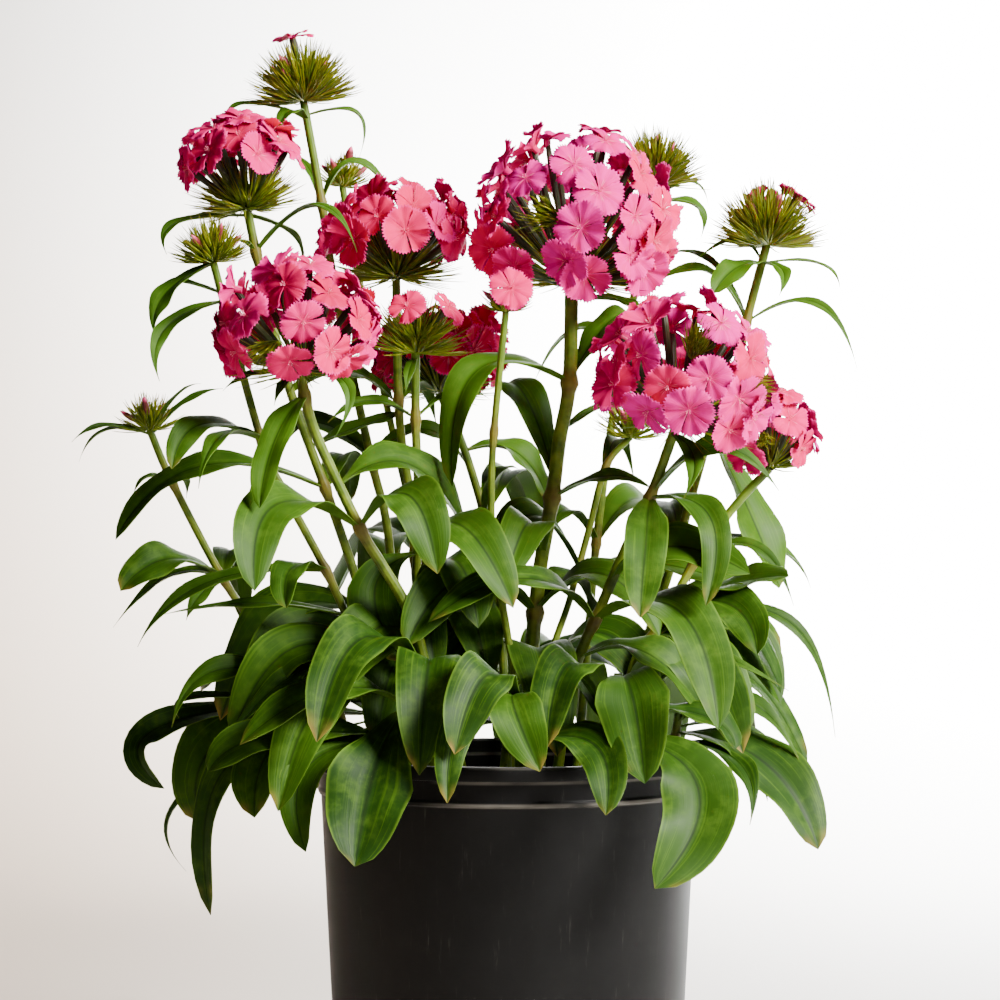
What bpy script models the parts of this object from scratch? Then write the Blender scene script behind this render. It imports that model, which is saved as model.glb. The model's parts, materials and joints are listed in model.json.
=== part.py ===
"""A flowering dianthus (sweet william) in its round nursery pot.

Units are metres in Blender and millimetres in the tables below. The origin is the middle of the
pot's base, +Z is up, and the side that was looked at while measuring faces -Y.

The tables give x and z as they look in the upright plane through the pot's axis. A place nearer
or further than that plane is slid along the line of sight to its own depth, y.
"""

import math
import random

import bmesh
import bpy
from mathutils import Matrix, Vector
from mathutils.bvhtree import BVHTree

MM = 0.001
GAP = 0.35            # between pieces that would otherwise touch
SEED = 7
FLAT_ANGLE = 2.0      # degrees between two faces that count as one
GOLDEN_ANGLE = math.pi * (3.0 - math.sqrt(5.0))

# The point that the plant was looked at from
EYE_X = -3.4
EYE_DISTANCE = 1369.4
EYE_HEIGHT = 268.3

# The pot
RIM_RADIUS = 82.5
POT_HEIGHT = 165.0
LIP_DEPTH = 5.5
LIP_LEDGE = 3.0       # the lip's underside is hollow to this height
EDGE = 0.8            # bevels of the pot
STEP_OUT = 0.5        # the thin line round the bottom of the collar
COLLAR_RADIUS = 77.3
COLLAR_BOTTOM = 150.0
BASE_RADIUS = 69.0
WALL = 1.5
FLOOR = 2.0
POT_SIDES = 32

# The soil and the holes that stems stand in
SOIL_TOP = 142.0
SOIL_CROWN = 2.0
HOLE_DEPTH = 12.0
HOLE_SIDES = 6
HOLE_WIDER = 1.2      # the corners of a six-sided hole reach further out than its flats

# Stems
STEM_SIDES = 5
STEM_TAPER = 0.9      # of its radius is left at the top
KNOT_SWELL = 1.55
KNOT_HALF = 2.2
STEP_APART = 1.2      # least height between two rings of a stem
FOOT_ABOVE_HOLE = 1.0
ABOVE_SOIL = 1.5      # a stem leaves its upright foot this far above the soil
EARLY_LEAN = 0.15     # of a stem's way to the depth of its top is made at the foot of its route
SHOOT_RADIUS = 2.0
SHOOT_LEAN = 0.08

# Leaves
LEAF_THICK = 1.3
LEAF_FOLD = 0.34      # how far the margins are lifted, as a share of half the width
LEAF_ROLL = 42.0      # degrees that a leaf growing sideways turns its face outward
LEAF_ROOT = 1.3       # half its width inside the stem
LEAF_LEAST = 0.9      # half the width of its narrowest ring
LEAF_LENGTHS = (26.0, 62.0, 112.0)   # a leaf longer than each of these gets one ring more
CREST_DEPTH = 0.55    # of the way from the root to the depth of the tip

# Heads
DOME_SIDES = 8
DOME_RIM = 3.0        # from the dome's widest florets to the edge of the head
DOME_FLOOR = 0.12     # of the head's height lies under the dome
DOME_MIDDLE = 0.3     # of the dome's height lies below the middle that its florets look away from
DOME_RISE = 0.62
TOP_PETALS = 2.5
FLORET_RADIUS = 9.6
SMALL_HEAD = 45.0     # a head narrower than this has smaller florets
SMALL_FLORET = 0.88
CUP_RADIUS = 2.4
CUP_DEPTH = 2.0
CORE_LIFT = 0.42      # of a bristly core's height lies between the stem's top and its middle
BUD_HALF = 4.0
BRACT_RADIUS = 0.75
BRACT_SHARES = (1.0, 0.8, 0.6)   # lengths that are tried before a bristle is left out
COLLAR_ANGLES = (66.0, 112.0)    # bristles under an open head, in degrees from its axis
CROWN_ANGLES = (12.0, 118.0)     # bristles of a green head

# name: foot (x, y), depth of the top, radius, route as (x, z), heights of the knots
STEMS = {
    "tall_left": ((-38, 16), 35, 2.0,
                  [(-45, 190), (-49, 252), (-56, 284), (-65, 324), (-71, 354), (-77, 393), (-84, 432)],
                  [284, 393]),
    "left": ((-46, -8), -10, 2.1,
             [(-48, 190), (-57, 219), (-65, 244), (-75, 273), (-90, 315), (-101, 359), (-107, 387)],
             [273, 369]),
    "small_left": ((-46, -30), -50, 1.8,
                   [(-53, 194), (-65, 218), (-75, 240), (-91, 270), (-101, 292), (-116, 347), (-121, 366)],
                   [205, 240, 292]),
    "front_left": ((-24, -42), -62, 2.3,
                   [(-34, 200), (-42, 225), (-52, 242), (-61, 257), (-78, 293), (-83, 309), (-85, 321)],
                   [257, 309]),
    "middle_left": ((-24, 10), 5, 2.0,
                    [(-32, 190), (-37, 225), (-40, 268), (-43, 287), (-45, 309), (-46, 359)],
                    [245, 309]),
    "front_middle": ((-28, -18), -28, 2.0,
                     [(-36, 190), (-38, 217), (-37, 268), (-38, 301), (-38, 329)],
                     [217, 301]),
    "behind_middle": ((0, 28), 45, 2.0,
                      [(-2, 200), (-4, 236), (-7, 252), (-18, 289), (-28, 312)],
                      [262]),
    "behind_left": ((-18, 46), 68, 1.7,
                    [(-24, 190), (-34, 240), (-46, 290), (-57, 340), (-64, 372), (-68, 397)],
                    [240, 340]),
    "centre": ((10, -8), -10, 3.2,
               [(9, 190), (10, 211), (13, 240), (18, 269), (21, 293), (25, 316), (26, 356)],
               [222, 269, 316]),
    "behind_right": ((28, 42), 60, 1.9,
                     [(31, 190), (36, 250), (44, 310), (53, 360), (60, 398)],
                     [250, 330]),
    "side": ((-4, -40), -48, 1.6,
             [(2, 194), (0, 211), (-6, 250), (-7, 268), (-6, 295), (-1, 346)],
             [250, 295]),
    "tall_right": ((42, 22), 35, 2.1,
                   [(50, 196), (58, 215), (70, 252), (83, 297), (93, 322), (98, 343), (106, 373)],
                   [252, 343]),
    "front_right": ((18, -32), -48, 2.3,
                    [(25, 190), (31, 209), (36, 220), (48, 248), (58, 269), (69, 299)],
                    [220, 269]),
    "low_right": ((42, -10), -5, 2.0,
                  [(50, 196), (58, 211), (66, 224), (77, 244), (93, 266), (107, 281)],
                  [211, 244]),
    "far_left": ((-60, 10), 10, 1.8,
                 [(-68, 175), (-89, 198), (-101, 213), (-117, 236), (-138, 276), (-147, 297)],
                 [236, 276]),
    "bud": ((14, 16), 30, 1.6,
            [(15, 194), (25, 227), (33, 256), (40, 282), (50, 294)],
            [240, 282]),
}

# Short leafy shoots at the foot of the plant: foot (x, y) and height
SHOOTS = {
    "shoot_left": ((-64, -16), 190),
    "shoot_left_back": ((-52, 38), 186),
    "shoot_front_left": ((-38, -56), 190),
    "shoot_front": ((4, -64), 192),
    "shoot_front_right": ((40, -50), 200),
    "shoot_right": ((64, -14), 182),
    "shoot_right_back": ((52, 44), 190),
    "shoot_back": ((2, 64), 190),
}
# Heads with open florets: stem, axis, width, height, florets, how far round they reach in degrees
BLOOMS = {
    "left": ((-0.15, -0.1, 1.0), 52, 37, 10, 92),
    "front_left": ((-0.1, -0.35, 1.0), 62, 43, 13, 112),
    "middle_left": ((0.0, 0.0, 1.0), 63, 37, 12, 98),
    "behind_middle": ((0.0, 0.1, 1.0), 55, 33, 11, 100),
    "centre": ((0.05, -0.1, 1.0), 81, 62, 22, 124),
    "front_right": ((0.15, -0.3, 1.0), 72, 49, 18, 116),
    "low_right": ((-0.05, -0.1, 1.0), 38, 32, 8, 112),
}
BLOOM_BRACTS = 4

# Green bristly heads: stem, axis, core width, core height, reach of the bracts, bracts
BRISTLES = {
    "tall_left": ((-0.1, 0.0, 1.0), 17, 19, 13, 14),
    "small_left": ((-0.1, -0.1, 1.0), 12, 14, 9, 10),
    "front_middle": ((0.1, -0.1, 1.0), 15, 16, 12, 11),
    "behind_left": ((0.1, 0.0, 1.0), 9, 11, 7, 8),
    "behind_right": ((0.0, 0.0, 1.0), 17, 15, 12, 11),
    "side": ((0.0, -0.2, 1.0), 7, 8, 6, 5),
    "tall_right": ((0.05, 0.0, 1.0), 19, 16, 14, 13),
    "far_left": ((-0.1, 0.0, 1.0), 10, 11, 8, 9),
    "bud": ((0.1, -0.1, 1.0), 12, 12, 9, 9),
}

# Single flowers and buds that stand on a bristly head: stem, direction, distance, radius
SINGLES = {
    "floret_tall_left": ("tall_left", (0.05, -0.1, 1.0), 9, 9.2),
    "floret_front_middle_left": ("front_middle", (-1.0, -0.5, 0.9), 11, 8.5),
    "floret_front_middle_right": ("front_middle", (0.3, -0.9, 0.9), 10, 8.5),
    "floret_side": ("side", (0.2, -1.0, 0.7), 8, 9.5),
    "floret_tall_right": ("tall_right", (0.1, -0.9, 1.0), 9, 10.0),
    "floret_tall_right_edge": ("tall_right", (1.0, 0.1, 0.8), 12, 8.0),
    "bud_tall_left": ("tall_left", (0.9, -0.6, 0.8), 9, 1.9),
    "bud_tall_right": ("tall_right", (-0.5, -0.3, 1.0), 9, 2.0),
    "bud_behind_right": ("behind_right", (-0.1, -0.3, 1.0), 10, 2.2),
    "bud_behind_left": ("behind_left", (-0.4, -0.2, 1.0), 6, 1.8),
}

# stem, height of the root, crest (x, z), tip (x, z), depth of the tip, width
LEAVES = [
    ("front_left", 257, (-96, 266), (-104, 231), -108, 19),
    ("front_left", 309, (-96, 293), (-102, 265), -95, 11.5),
    ("front_left", 257, (-42, 270), (-29, 238), -78, 19),
    ("front_right", 269, (54, 250), (54, 220), -95, 15),
    ("front_right", 220, (67, 222), (86, 174), -95, 20),
    ("shoot_front_left", 186, (-51, 158), (-63, 118), -104, 28),
    ("shoot_front_right", 196, (52, 190), (56, 152), -98, 24),
    ("shoot_front_right", 176, (75, 150), (60, 109), -92, 24),
    ("shoot_right", 174, (105, 160), (127, 125), -42, 20),
    ("shoot_left_back", 178, (-116, 172), (-126, 136), 20, 22),
    ("left", 273, (-126, 282), (-161, 252), -25, 12.5),
    ("small_left", 292, (-126, 299), (-138, 281), -72, 11),
    ("small_left", 292, (-120, 294), (-127, 273), -88, 8),
    ("small_left", 347, (-141, 338), (-143, 317), -78, 6.5),
    ("small_left", 362, (-141, 352), (-145, 336), -58, 9),
    ("small_left", 350, (-135, 358), (-143, 355), -36, 3.4),
    ("small_left", 240, (-88, 240), (-91, 224), -66, 12),
    ("small_left", 240, (-124, 234), (-152, 208), -45, 7.5),
    ("small_left", 222, (-102, 226), (-143, 221), -36, 5.5),
    ("small_left", 205, (-90, 195), (-120, 162), -58, 9),
    ("centre", 316, (-14, 321), (-23, 274), -32, 15),
    ("centre", 316, (40, 340), (51, 343), 5, 12.5),
    ("centre", 276, (9, 311), (-3, 313), 22, 15),
    ("centre", 269, (41, 278), (60, 272), -14, 7),
    ("centre", 295, (34, 305), (50, 311), 18, 3.6),
    ("centre", 350, (47, 350), (54, 342), -26, 7),
    ("front_right", 220, (5, 236), (-33, 218), -62, 14),
    ("front_right", 269, (81, 261), (81, 225), -76, 11.5),
    ("front_right", 236, (64, 249), (99, 238), -70, 17.5),
    ("front_right", 269, (85, 290), (111, 272), -52, 10),
    ("front_right", 294, (74, 285), (72, 269), -82, 7),
    ("front_right", 200, (34, 186), (44, 171), -74, 6),
    ("low_right", 244, (101, 249), (117, 225), -22, 5.5),
    ("low_right", 224, (93, 234), (115, 237), -36, 14.5),
    ("low_right", 224, (93, 225), (102, 205), -50, 16),
    ("low_right", 211, (111, 221), (134, 171), -15, 5.5),
    ("low_right", 203, (79, 207), (115, 190), -40, 6),
    ("tall_right", 343, (79, 363), (52, 351), 40, 5.5),
    ("tall_right", 343, (79, 368), (58, 366), 64, 4),
    ("tall_right", 343, (126, 349), (143, 322), 20, 4),
    ("tall_right", 368, (93, 375), (75, 365), 30, 3.4),
    ("tall_right", 368, (93, 363), (84, 353), 10, 11),
    ("tall_right", 368, (112, 362), (111, 352), 12, 6),
    ("tall_right", 368, (129, 365), (136, 352), 40, 3),
    ("tall_right", 297, (99, 262), (111, 232), 24, 22),
    ("tall_right", 252, (107, 250), (124, 232), 45, 6),
    ("bud", 240, (62, 242), (97, 231), 4, 16),
    ("tall_left", 430, (-108, 431), (-116, 423), 30, 3),
    ("tall_left", 428, (-91, 427), (-95, 417), 18, 8),
    ("tall_left", 430, (-62, 427), (-61, 409), 40, 3.4),
    ("tall_left", 393, (-59, 406), (-35, 368), 48, 5.5),
    ("tall_left", 393, (-84, 405), (-90, 410), 55, 3.6),
    ("left", 369, (-78, 389), (-62, 370), -32, 5.5),
    ("left", 369, (-112, 375), (-118, 369), -25, 3.6),
    ("left", 384, (-88, 377), (-85, 363), 5, 6),
    ("left", 384, (-136, 382), (-140, 369), -20, 5),
    ("left", 290, (-59, 299), (-40, 305), 14, 9.5),
    ("left", 312, (-65, 321), (-47, 309), 26, 14),
    ("left", 222, (-98, 211), (-126, 190), 52, 17.5),
    ("front_left", 319, (-66, 315), (-71, 294), -78, 5),
    ("front_left", 319, (-92, 316), (-96, 307), -84, 4),
    ("front_left", 319, (-105, 320), (-117, 313), -60, 4),
    ("front_left", 274, (-40, 283), (-18, 256), -24, 19),
    ("front_middle", 301, (-57, 309), (-74, 300), -30, 6),
    ("front_middle", 301, (-22, 313), (-7, 309), -12, 3.6),
    ("front_middle", 325, (-41, 321), (-42, 312), -42, 4),
    ("front_middle", 247, (-53, 231), (-43, 202), -46, 19),
    ("front_middle", 217, (-34, 226), (-30, 192), -44, 12.6),
    ("middle_left", 245, (-12, 255), (5, 244), -5, 16),
    ("behind_middle", 289, (3, 288), (16, 268), 50, 16),
    ("behind_middle", 262, (-3, 279), (4, 281), 12, 6),
    ("behind_right", 396, (77, 389), (79, 376), 60, 7),
    ("behind_right", 396, (75, 399), (82, 389), 75, 3),
    ("far_left", 236, (-139, 244), (-159, 231), -15, 16),
    ("far_left", 236, (-139, 237), (-162, 216), 22, 6),
    ("far_left", 236, (-128, 229), (-132, 219), -22, 6),
    ("far_left", 276, (-148, 278), (-154, 270), 5, 3.6),
    ("far_left", 276, (-133, 277), (-132, 269), 30, 3.6),
    ("far_left", 295, (-165, 297), (-176, 284), 20, 3),
    ("far_left", 295, (-165, 299), (-179, 292), -5, 3),
    ("far_left", 295, (-132, 309), (-117, 314), 15, 3.4),
    ("far_left", 295, (-137, 311), (-126, 316), -8, 3),
    ("left", 219, (-92, 222), (-118, 178), 0, 22.5),
    ("tall_left", 204, (-84, 202), (-112, 170), -8, 21),
    ("centre", 222, (-18, 236), (-42, 208), -58, 19),
    ("centre", 222, (38, 238), (62, 212), -30, 17.5),
    ("front_middle", 217, (-58, 214), (-80, 184), -64, 21),
    ("front_middle", 245, (-18, 258), (2, 224), -70, 19),
    ("front_right", 205, (56, 206), (80, 180), -44, 19),
    ("low_right", 211, (76, 208), (100, 176), -32, 19),
    ("tall_right", 220, (84, 228), (112, 206), 42, 20),
    ("bud", 240, (8, 262), (-10, 234), 10, 16),
    ("shoot_left", 186, (-116, 199), (-138, 175), -30, 9.5),
    ("shoot_left", 180, (-95, 184), (-120, 150), 6, 20),
    ("shoot_left", 184, (-126, 188), (-135, 179), 0, 3.4),
    ("shoot_left", 168, (-116, 158), (-122, 98), -20, 12),
    ("shoot_left", 172, (-96, 168), (-104, 138), -50, 20),
    ("shoot_left_back", 184, (-141, 176), (-141, 150), -4, 12),
    ("shoot_left_back", 176, (-130, 150), (-132, 116), 42, 4),
    ("shoot_front_left", 188, (-73, 190), (-110, 168), -80, 15),
    ("shoot_front_left", 174, (-96, 172), (-123, 157), -62, 14),
    ("shoot_front_left", 172, (-80, 160), (-83, 124), -84, 13),
    ("shoot_front", 190, (3, 184), (13, 157), -100, 17.5),
    ("shoot_front", 188, (-12, 196), (-22, 164), -104, 18),
    ("shoot_front_right", 182, (24, 201), (16, 167), -90, 17.5),
    ("shoot_front", 176, (-18, 176), (-25, 144), -106, 11),
    ("shoot_front", 172, (34, 168), (40, 139), -106, 15),
    ("shoot_front_right", 184, (79, 180), (93, 166), -60, 14),
    ("shoot_right", 178, (97, 186), (121, 158), -30, 7.5),
    ("shoot_right", 176, (94, 176), (114, 162), -14, 4),
    ("shoot_right", 170, (95, 160), (99, 135), -62, 8),
]

# Leaves on the far side and low in the middle: stem, height of the root, turn in degrees from +X,
# reach, rise of the crest, drop from there to the tip, width
FAR_LEAVES = [
    ("shoot_back", 186, 60, 78, 14, 60, 20),
    ("shoot_back", 182, 118, 74, 12, 66, 22),
    ("shoot_back", 174, 88, 66, 10, 52, 15),
    ("shoot_back", 188, 20, 60, 16, 26, 12),
    ("shoot_back", 188, 168, 60, 16, 28, 12),
    ("shoot_right_back", 186, 40, 76, 12, 62, 21),
    ("shoot_right_back", 180, 78, 70, 12, 50, 16),
    ("shoot_right_back", 184, 4, 72, 14, 44, 13),
    ("shoot_left_back", 182, 112, 72, 14, 58, 18),
    ("shoot_left_back", 176, 150, 70, 10, 50, 14),
    ("behind_middle", 262, 70, 66, 18, 34, 15),
    ("behind_middle", 220, 110, 62, 12, 40, 16),
    ("behind_left", 240, 130, 68, 16, 36, 14),
    ("behind_left", 240, 320, 42, 12, 20, 8),
    ("behind_left", 340, 96, 44, 10, 24, 7),
    ("behind_left", 340, 215, 38, 10, 20, 6),
    ("behind_right", 250, 50, 66, 18, 36, 15),
    ("behind_right", 250, 227, 32, 14, 16, 8),
    ("behind_right", 330, 20, 44, 12, 24, 7),
    ("behind_right", 330, 150, 44, 12, 24, 7),
    ("tall_right", 252, 96, 60, 14, 38, 13),
    ("tall_left", 284, 150, 62, 16, 34, 11),
    ("tall_left", 284, 29, 47, 14, 18, 8),
    ("tall_left", 240, 100, 56, 10, 36, 14),
    ("left", 273, 80, 46, 14, 20, 9),
    ("far_left", 236, 84, 46, 10, 30, 10),
    ("middle_left", 309, 70, 44, 8, 18, 8),
    ("centre", 222, 48, 39, 14, 24, 12),
    ("bud", 282, 70, 40, 12, 18, 6),
    ("left", 196, 205, 62, 20, 34, 17),
    ("left", 184, 160, 46, 9, 26, 14),
    ("small_left", 180, 230, 62, 10, 42, 16),
    ("small_left", 192, 190, 60, 18, 36, 15),
    ("tall_left", 184, 149, 74, 20, 40, 18),
    ("front_left", 196, 231, 66, 18, 38, 16),
    ("front_left", 186, 265, 48, 19, 42, 17),
    ("front_middle", 190, 246, 41, 14, 33, 15),
    ("front_middle", 230, 306, 43, 14, 26, 17),
    ("middle_left", 205, 300, 52, 20, 30, 16),
    ("centre", 190, 280, 58, 18, 40, 18),
    ("centre", 200, 206, 46, 14, 26, 16),
    ("centre", 245, 250, 44, 14, 24, 14),
    ("low_right", 190, 320, 58, 18, 40, 18),
    ("low_right", 205, 10, 60, 18, 34, 16),
    ("tall_right", 200, 345, 62, 20, 36, 17),
    ("bud", 200, 330, 50, 13, 28, 15),
]

GREEN = (0.13, 0.27, 0.09, 1.0)
PINK = (0.80, 0.16, 0.36, 1.0)
BUD_RED = (0.45, 0.05, 0.12, 1.0)
POT_BLACK = (0.035, 0.036, 0.038, 1.0)
SOIL_BROWN = (0.07, 0.045, 0.03, 1.0)


def clear_scene():
    for thing in list(bpy.data.objects):
        bpy.data.objects.remove(thing, do_unlink=True)


def material(name, colour, roughness):
    made = bpy.data.materials.new(name)
    made.use_nodes = True
    shader = made.node_tree.nodes["Principled BSDF"]
    shader.inputs["Base Color"].default_value = colour
    shader.inputs["Roughness"].default_value = roughness
    return made


def seen_at(x, y, z):
    """The place at depth y that looks as far across and as high as x, z in the middle plane."""
    grow = 1.0 + y / EYE_DISTANCE
    return Vector((EYE_X + (x - EYE_X) * grow, y, EYE_HEIGHT + (z - EYE_HEIGHT) * grow))


def mesh_from(name, solid):
    """A mesh in metres from a solid given in millimetres."""
    points, faces = solid
    mesh = bpy.data.meshes.new(name)
    mesh.from_pydata([p * MM for p in points], [], faces)
    work = bmesh.new()
    work.from_mesh(mesh)
    bmesh.ops.triangulate(work, faces=work.faces)
    bmesh.ops.recalc_face_normals(work, faces=work.faces)
    work.to_mesh(mesh)
    work.free()
    return mesh


def add_object(name, mesh, look):
    thing = bpy.data.objects.new(name, mesh)
    thing.data.materials.clear()
    thing.data.materials.append(look)
    bpy.context.scene.collection.objects.link(thing)
    return thing


def keep_one_body(mesh):
    """Keeps the largest shell, without sealed hollows, loose scraps and the splinters of flat faces."""
    work = bmesh.new()
    work.from_mesh(mesh)
    left = set(work.faces)
    shells = []
    while left:
        queue = [left.pop()]
        shell = list(queue)
        while queue:
            for edge in queue.pop().edges:
                for face in edge.link_faces:
                    if face in left:
                        left.remove(face)
                        queue.append(face)
                        shell.append(face)
        shells.append(shell)
    shells.sort(key=lambda shell: sum(face.calc_area() for face in shell), reverse=True)
    loose = [face for shell in shells[1:] for face in shell]
    bmesh.ops.delete(work, geom=loose, context="FACES")
    bmesh.ops.delete(work, geom=[v for v in work.verts if not v.link_faces], context="VERTS")
    bmesh.ops.dissolve_limit(work, angle_limit=math.radians(FLAT_ANGLE), verts=work.verts, edges=work.edges)
    bmesh.ops.triangulate(work, faces=work.faces)
    work.to_mesh(mesh)
    work.free()


def combine(base, others, operation):
    """Joins a collection of solids to an object, or cuts them out of it, and removes them."""
    look = base.data.materials[0]
    change = base.modifiers.new("Combine", "BOOLEAN")
    change.operation = operation
    change.operand_type = "COLLECTION"
    change.collection = others
    change.solver = "MANIFOLD"
    whole = bpy.data.meshes.new_from_object(base.evaluated_get(bpy.context.evaluated_depsgraph_get()))
    base.modifiers.clear()
    base.data = whole
    base.data.materials.clear()
    base.data.materials.append(look)
    for other in list(others.objects):
        bpy.data.objects.remove(other, do_unlink=True)
    bpy.data.collections.remove(others)


def fuse(name, solids, look):
    """One closed body from solids that run into each other."""
    base = add_object(name, mesh_from(name, solids[0]), look)
    if len(solids) > 1:
        others = bpy.data.collections.new(name + "_repeats")
        bpy.context.scene.collection.children.link(others)
        for number, solid in enumerate(solids[1:]):
            repeat = bpy.data.objects.new(f"{name}_repeat_{number}", mesh_from(name, solid))
            others.objects.link(repeat)
        combine(base, others, "UNION")
        keep_one_body(base.data)
    print(name, "triangles", sum(len(face.vertices) - 2 for face in base.data.polygons))


def turned(profile, sides):
    """A solid of revolution from a closed run of (radius, height), with points on the axis at both ends."""
    points = []
    rings = []
    for radius, height in profile:
        if radius == 0.0:
            rings.append([len(points)])
            points.append(Vector((0.0, 0.0, height)))
            continue
        rings.append(list(range(len(points), len(points) + sides)))
        for step in range(sides):
            angle = 2.0 * math.pi * step / sides
            points.append(Vector((radius * math.cos(angle), radius * math.sin(angle), height)))
    faces = []
    for one, two in zip(rings, rings[1:]):
        for step in range(sides):
            after = (step + 1) % sides
            if len(one) == 1:
                faces.append((one[0], two[step], two[after]))
            elif len(two) == 1:
                faces.append((one[step], two[0], one[after]))
            else:
                faces.append((one[step], two[step], two[after], one[after]))
    return points, faces


def frames_along(path):
    """A side and an up direction at each point of a path, turned as little as possible."""
    side = None
    frames = []
    for number, point in enumerate(path):
        ahead = path[min(number + 1, len(path) - 1)]
        behind = path[max(number - 1, 0)]
        along = (ahead - behind).normalized()
        if side is None:
            side = along.orthogonal().normalized()
        side = (side - along * side.dot(along)).normalized()
        frames.append((point, side, along.cross(side)))
    return frames


def tube(path, radii, sides):
    points = []
    for (centre, side, up), radius in zip(frames_along(path), radii):
        for step in range(sides):
            angle = 2.0 * math.pi * step / sides
            points.append(centre + (side * math.cos(angle) + up * math.sin(angle)) * radius)
    faces = [tuple(reversed(range(sides)))]
    for ring in range(len(path) - 1):
        for step in range(sides):
            after = (step + 1) % sides
            start = ring * sides
            faces.append((start + step, start + after, start + sides + after, start + sides + step))
    last = (len(path) - 1) * sides
    faces.append(tuple(last + step for step in range(sides)))
    return points, faces


def spike(root, tip, radius):
    """A three-sided needle."""
    along = (tip - root).normalized()
    side = along.orthogonal().normalized()
    up = along.cross(side)
    points = [tip]
    for step in range(3):
        angle = 2.0 * math.pi * step / 3.0
        points.append(root + (side * math.cos(angle) + up * math.sin(angle)) * radius)
    return points, [(3, 2, 1), (0, 1, 2), (0, 2, 3), (0, 3, 1)]


def on_route(stem, height):
    """The point of a stem's middle line at a height."""
    path = stem["path"]
    for low, high in zip(path, path[1:]):
        if low.z <= height <= high.z:
            return low.lerp(high, (height - low.z) / (high.z - low.z))
    return path[-1].copy()


def leaf_curve(root, crest, tip, steps):
    """Points of the arch that starts at the root, passes the crest half way and ends at the tip."""
    pull = crest * 2.0 - (root + tip) * 0.5
    curve = []
    for step in range(steps + 1):
        t = step / steps
        curve.append(root * (1 - t) ** 2 + pull * (2 * t * (1 - t)) + tip * t ** 2)
    return curve


def leaf_width(t):
    """How wide a leaf is along its length, as a share of its widest place."""
    narrow = 0.34
    return narrow + (1.0 - narrow) * math.sin(math.pi * min(1.0, t * 1.04) ** 0.85) ** 0.9


def blade(root, crest, tip, width, extra=0.0):
    """A folded, pointed leaf: four corners to a ring, split into triangles alike above and below."""
    length = (crest - root).length + (tip - crest).length
    rings = 2 + sum(length > limit for limit in LEAF_LENGTHS)
    curve = leaf_curve(root, crest, tip, rings)
    flat = Vector((tip.x - root.x, tip.y - root.y, 0.0))
    across = Vector((-flat.y, flat.x, 0.0)).normalized() if flat.length > 1.0 else Vector((1.0, 0.0, 0.0))
    points = []
    for number in range(rings):
        along = (curve[number + 1] - curve[max(number - 1, 0)]).normalized()
        side = (across - along * across.dot(along)).normalized()
        up = along.cross(side)
        roll = Matrix.Rotation(math.radians(LEAF_ROLL) * across.y * min(1.0, number / 2.0), 3, along)
        side = roll @ side
        up = roll @ up
        half = max(LEAF_LEAST, width * leaf_width(number / rings) / 2.0)
        half = (half if number else min(half, LEAF_ROOT)) + extra
        thick = LEAF_THICK / 2.0 + extra
        lift = up * (half * LEAF_FOLD)
        points += [
            curve[number] - side * half + lift,
            curve[number] + up * thick,
            curve[number] + side * half + lift,
            curve[number] - up * thick,
        ]
    end = len(points)
    points.append(curve[-1])
    faces = [(0, 1, 3), (1, 2, 3)]
    for ring in range(rings - 1):
        left, top, right, low = range(ring * 4, ring * 4 + 4)
        left2, top2, right2, low2 = range(ring * 4 + 4, ring * 4 + 8)
        faces += [(left, left2, top), (top, left2, top2), (top, top2, right2), (top, right2, right)]
        faces += [(left, low, left2), (low, low2, left2), (low, right2, low2), (low, right, right2)]
    left, top, right, low = range(end - 4, end)
    faces += [(left, end, top), (top, end, right), (right, end, low), (low, end, left)]
    return points, faces


def floret(foot, centre, radius, spin):
    """Five wide petals round an eye, over a tapering tube that ends at its foot."""
    outward = (centre - foot).normalized()
    side = outward.orthogonal().normalized()
    up = outward.cross(side)
    points = [foot, centre - outward * (0.1 * radius)]
    for petal in range(5):
        for offset, reach, rise in ((0, 1.0, 0.05), (36, 0.66, -0.04)):
            angle = math.radians(72 * petal + offset) + spin
            spread = side * math.cos(angle) + up * math.sin(angle)
            points.append(centre + spread * (radius * reach) + outward * (radius * rise))
    faces = []
    for step in range(10):
        one = 2 + step
        two = 2 + (step + 1) % 10
        faces += [(1, one, two), (0, two, one)]
    return points, faces


def oval(centre, axis, across, along, rings=3, sides=7):
    """A low egg shape with its long axis along the given direction."""
    turn = axis.to_track_quat("Z", "Y").to_matrix()
    profile = [(0.0, -along)]
    for ring in range(1, rings + 1):
        angle = math.pi * ring / (rings + 1)
        profile.append((across * math.sin(angle), -along * math.cos(angle)))
    profile.append((0.0, along))
    points, faces = turned(profile, sides)
    return [centre + turn @ point for point in points], faces


class Crowd:
    """The solids that already stand, kept as search trees that tell which of them a new one meets."""

    def __init__(self):
        self.standing = []

    def add(self, owner, solid):
        points, faces = solid
        low = Vector([min(p[i] for p in points) for i in range(3)])
        high = Vector([max(p[i] for p in points) for i in range(3)])
        self.standing.append((owner, low, high, BVHTree.FromPolygons(points, faces)))

    def meets(self, owner, solid):
        """The name of a piece that a solid would run into, or None."""
        points, faces = solid
        low = [min(p[i] for p in points) for i in range(3)]
        high = [max(p[i] for p in points) for i in range(3)]
        tree = None
        for other, other_low, other_high, other_tree in self.standing:
            if other == owner:
                continue
            if any(low[i] > other_high[i] or high[i] < other_low[i] for i in range(3)):
                continue
            if tree is None:
                tree = BVHTree.FromPolygons(points, faces)
            if tree.overlap(other_tree):
                return other
        return None


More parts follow.
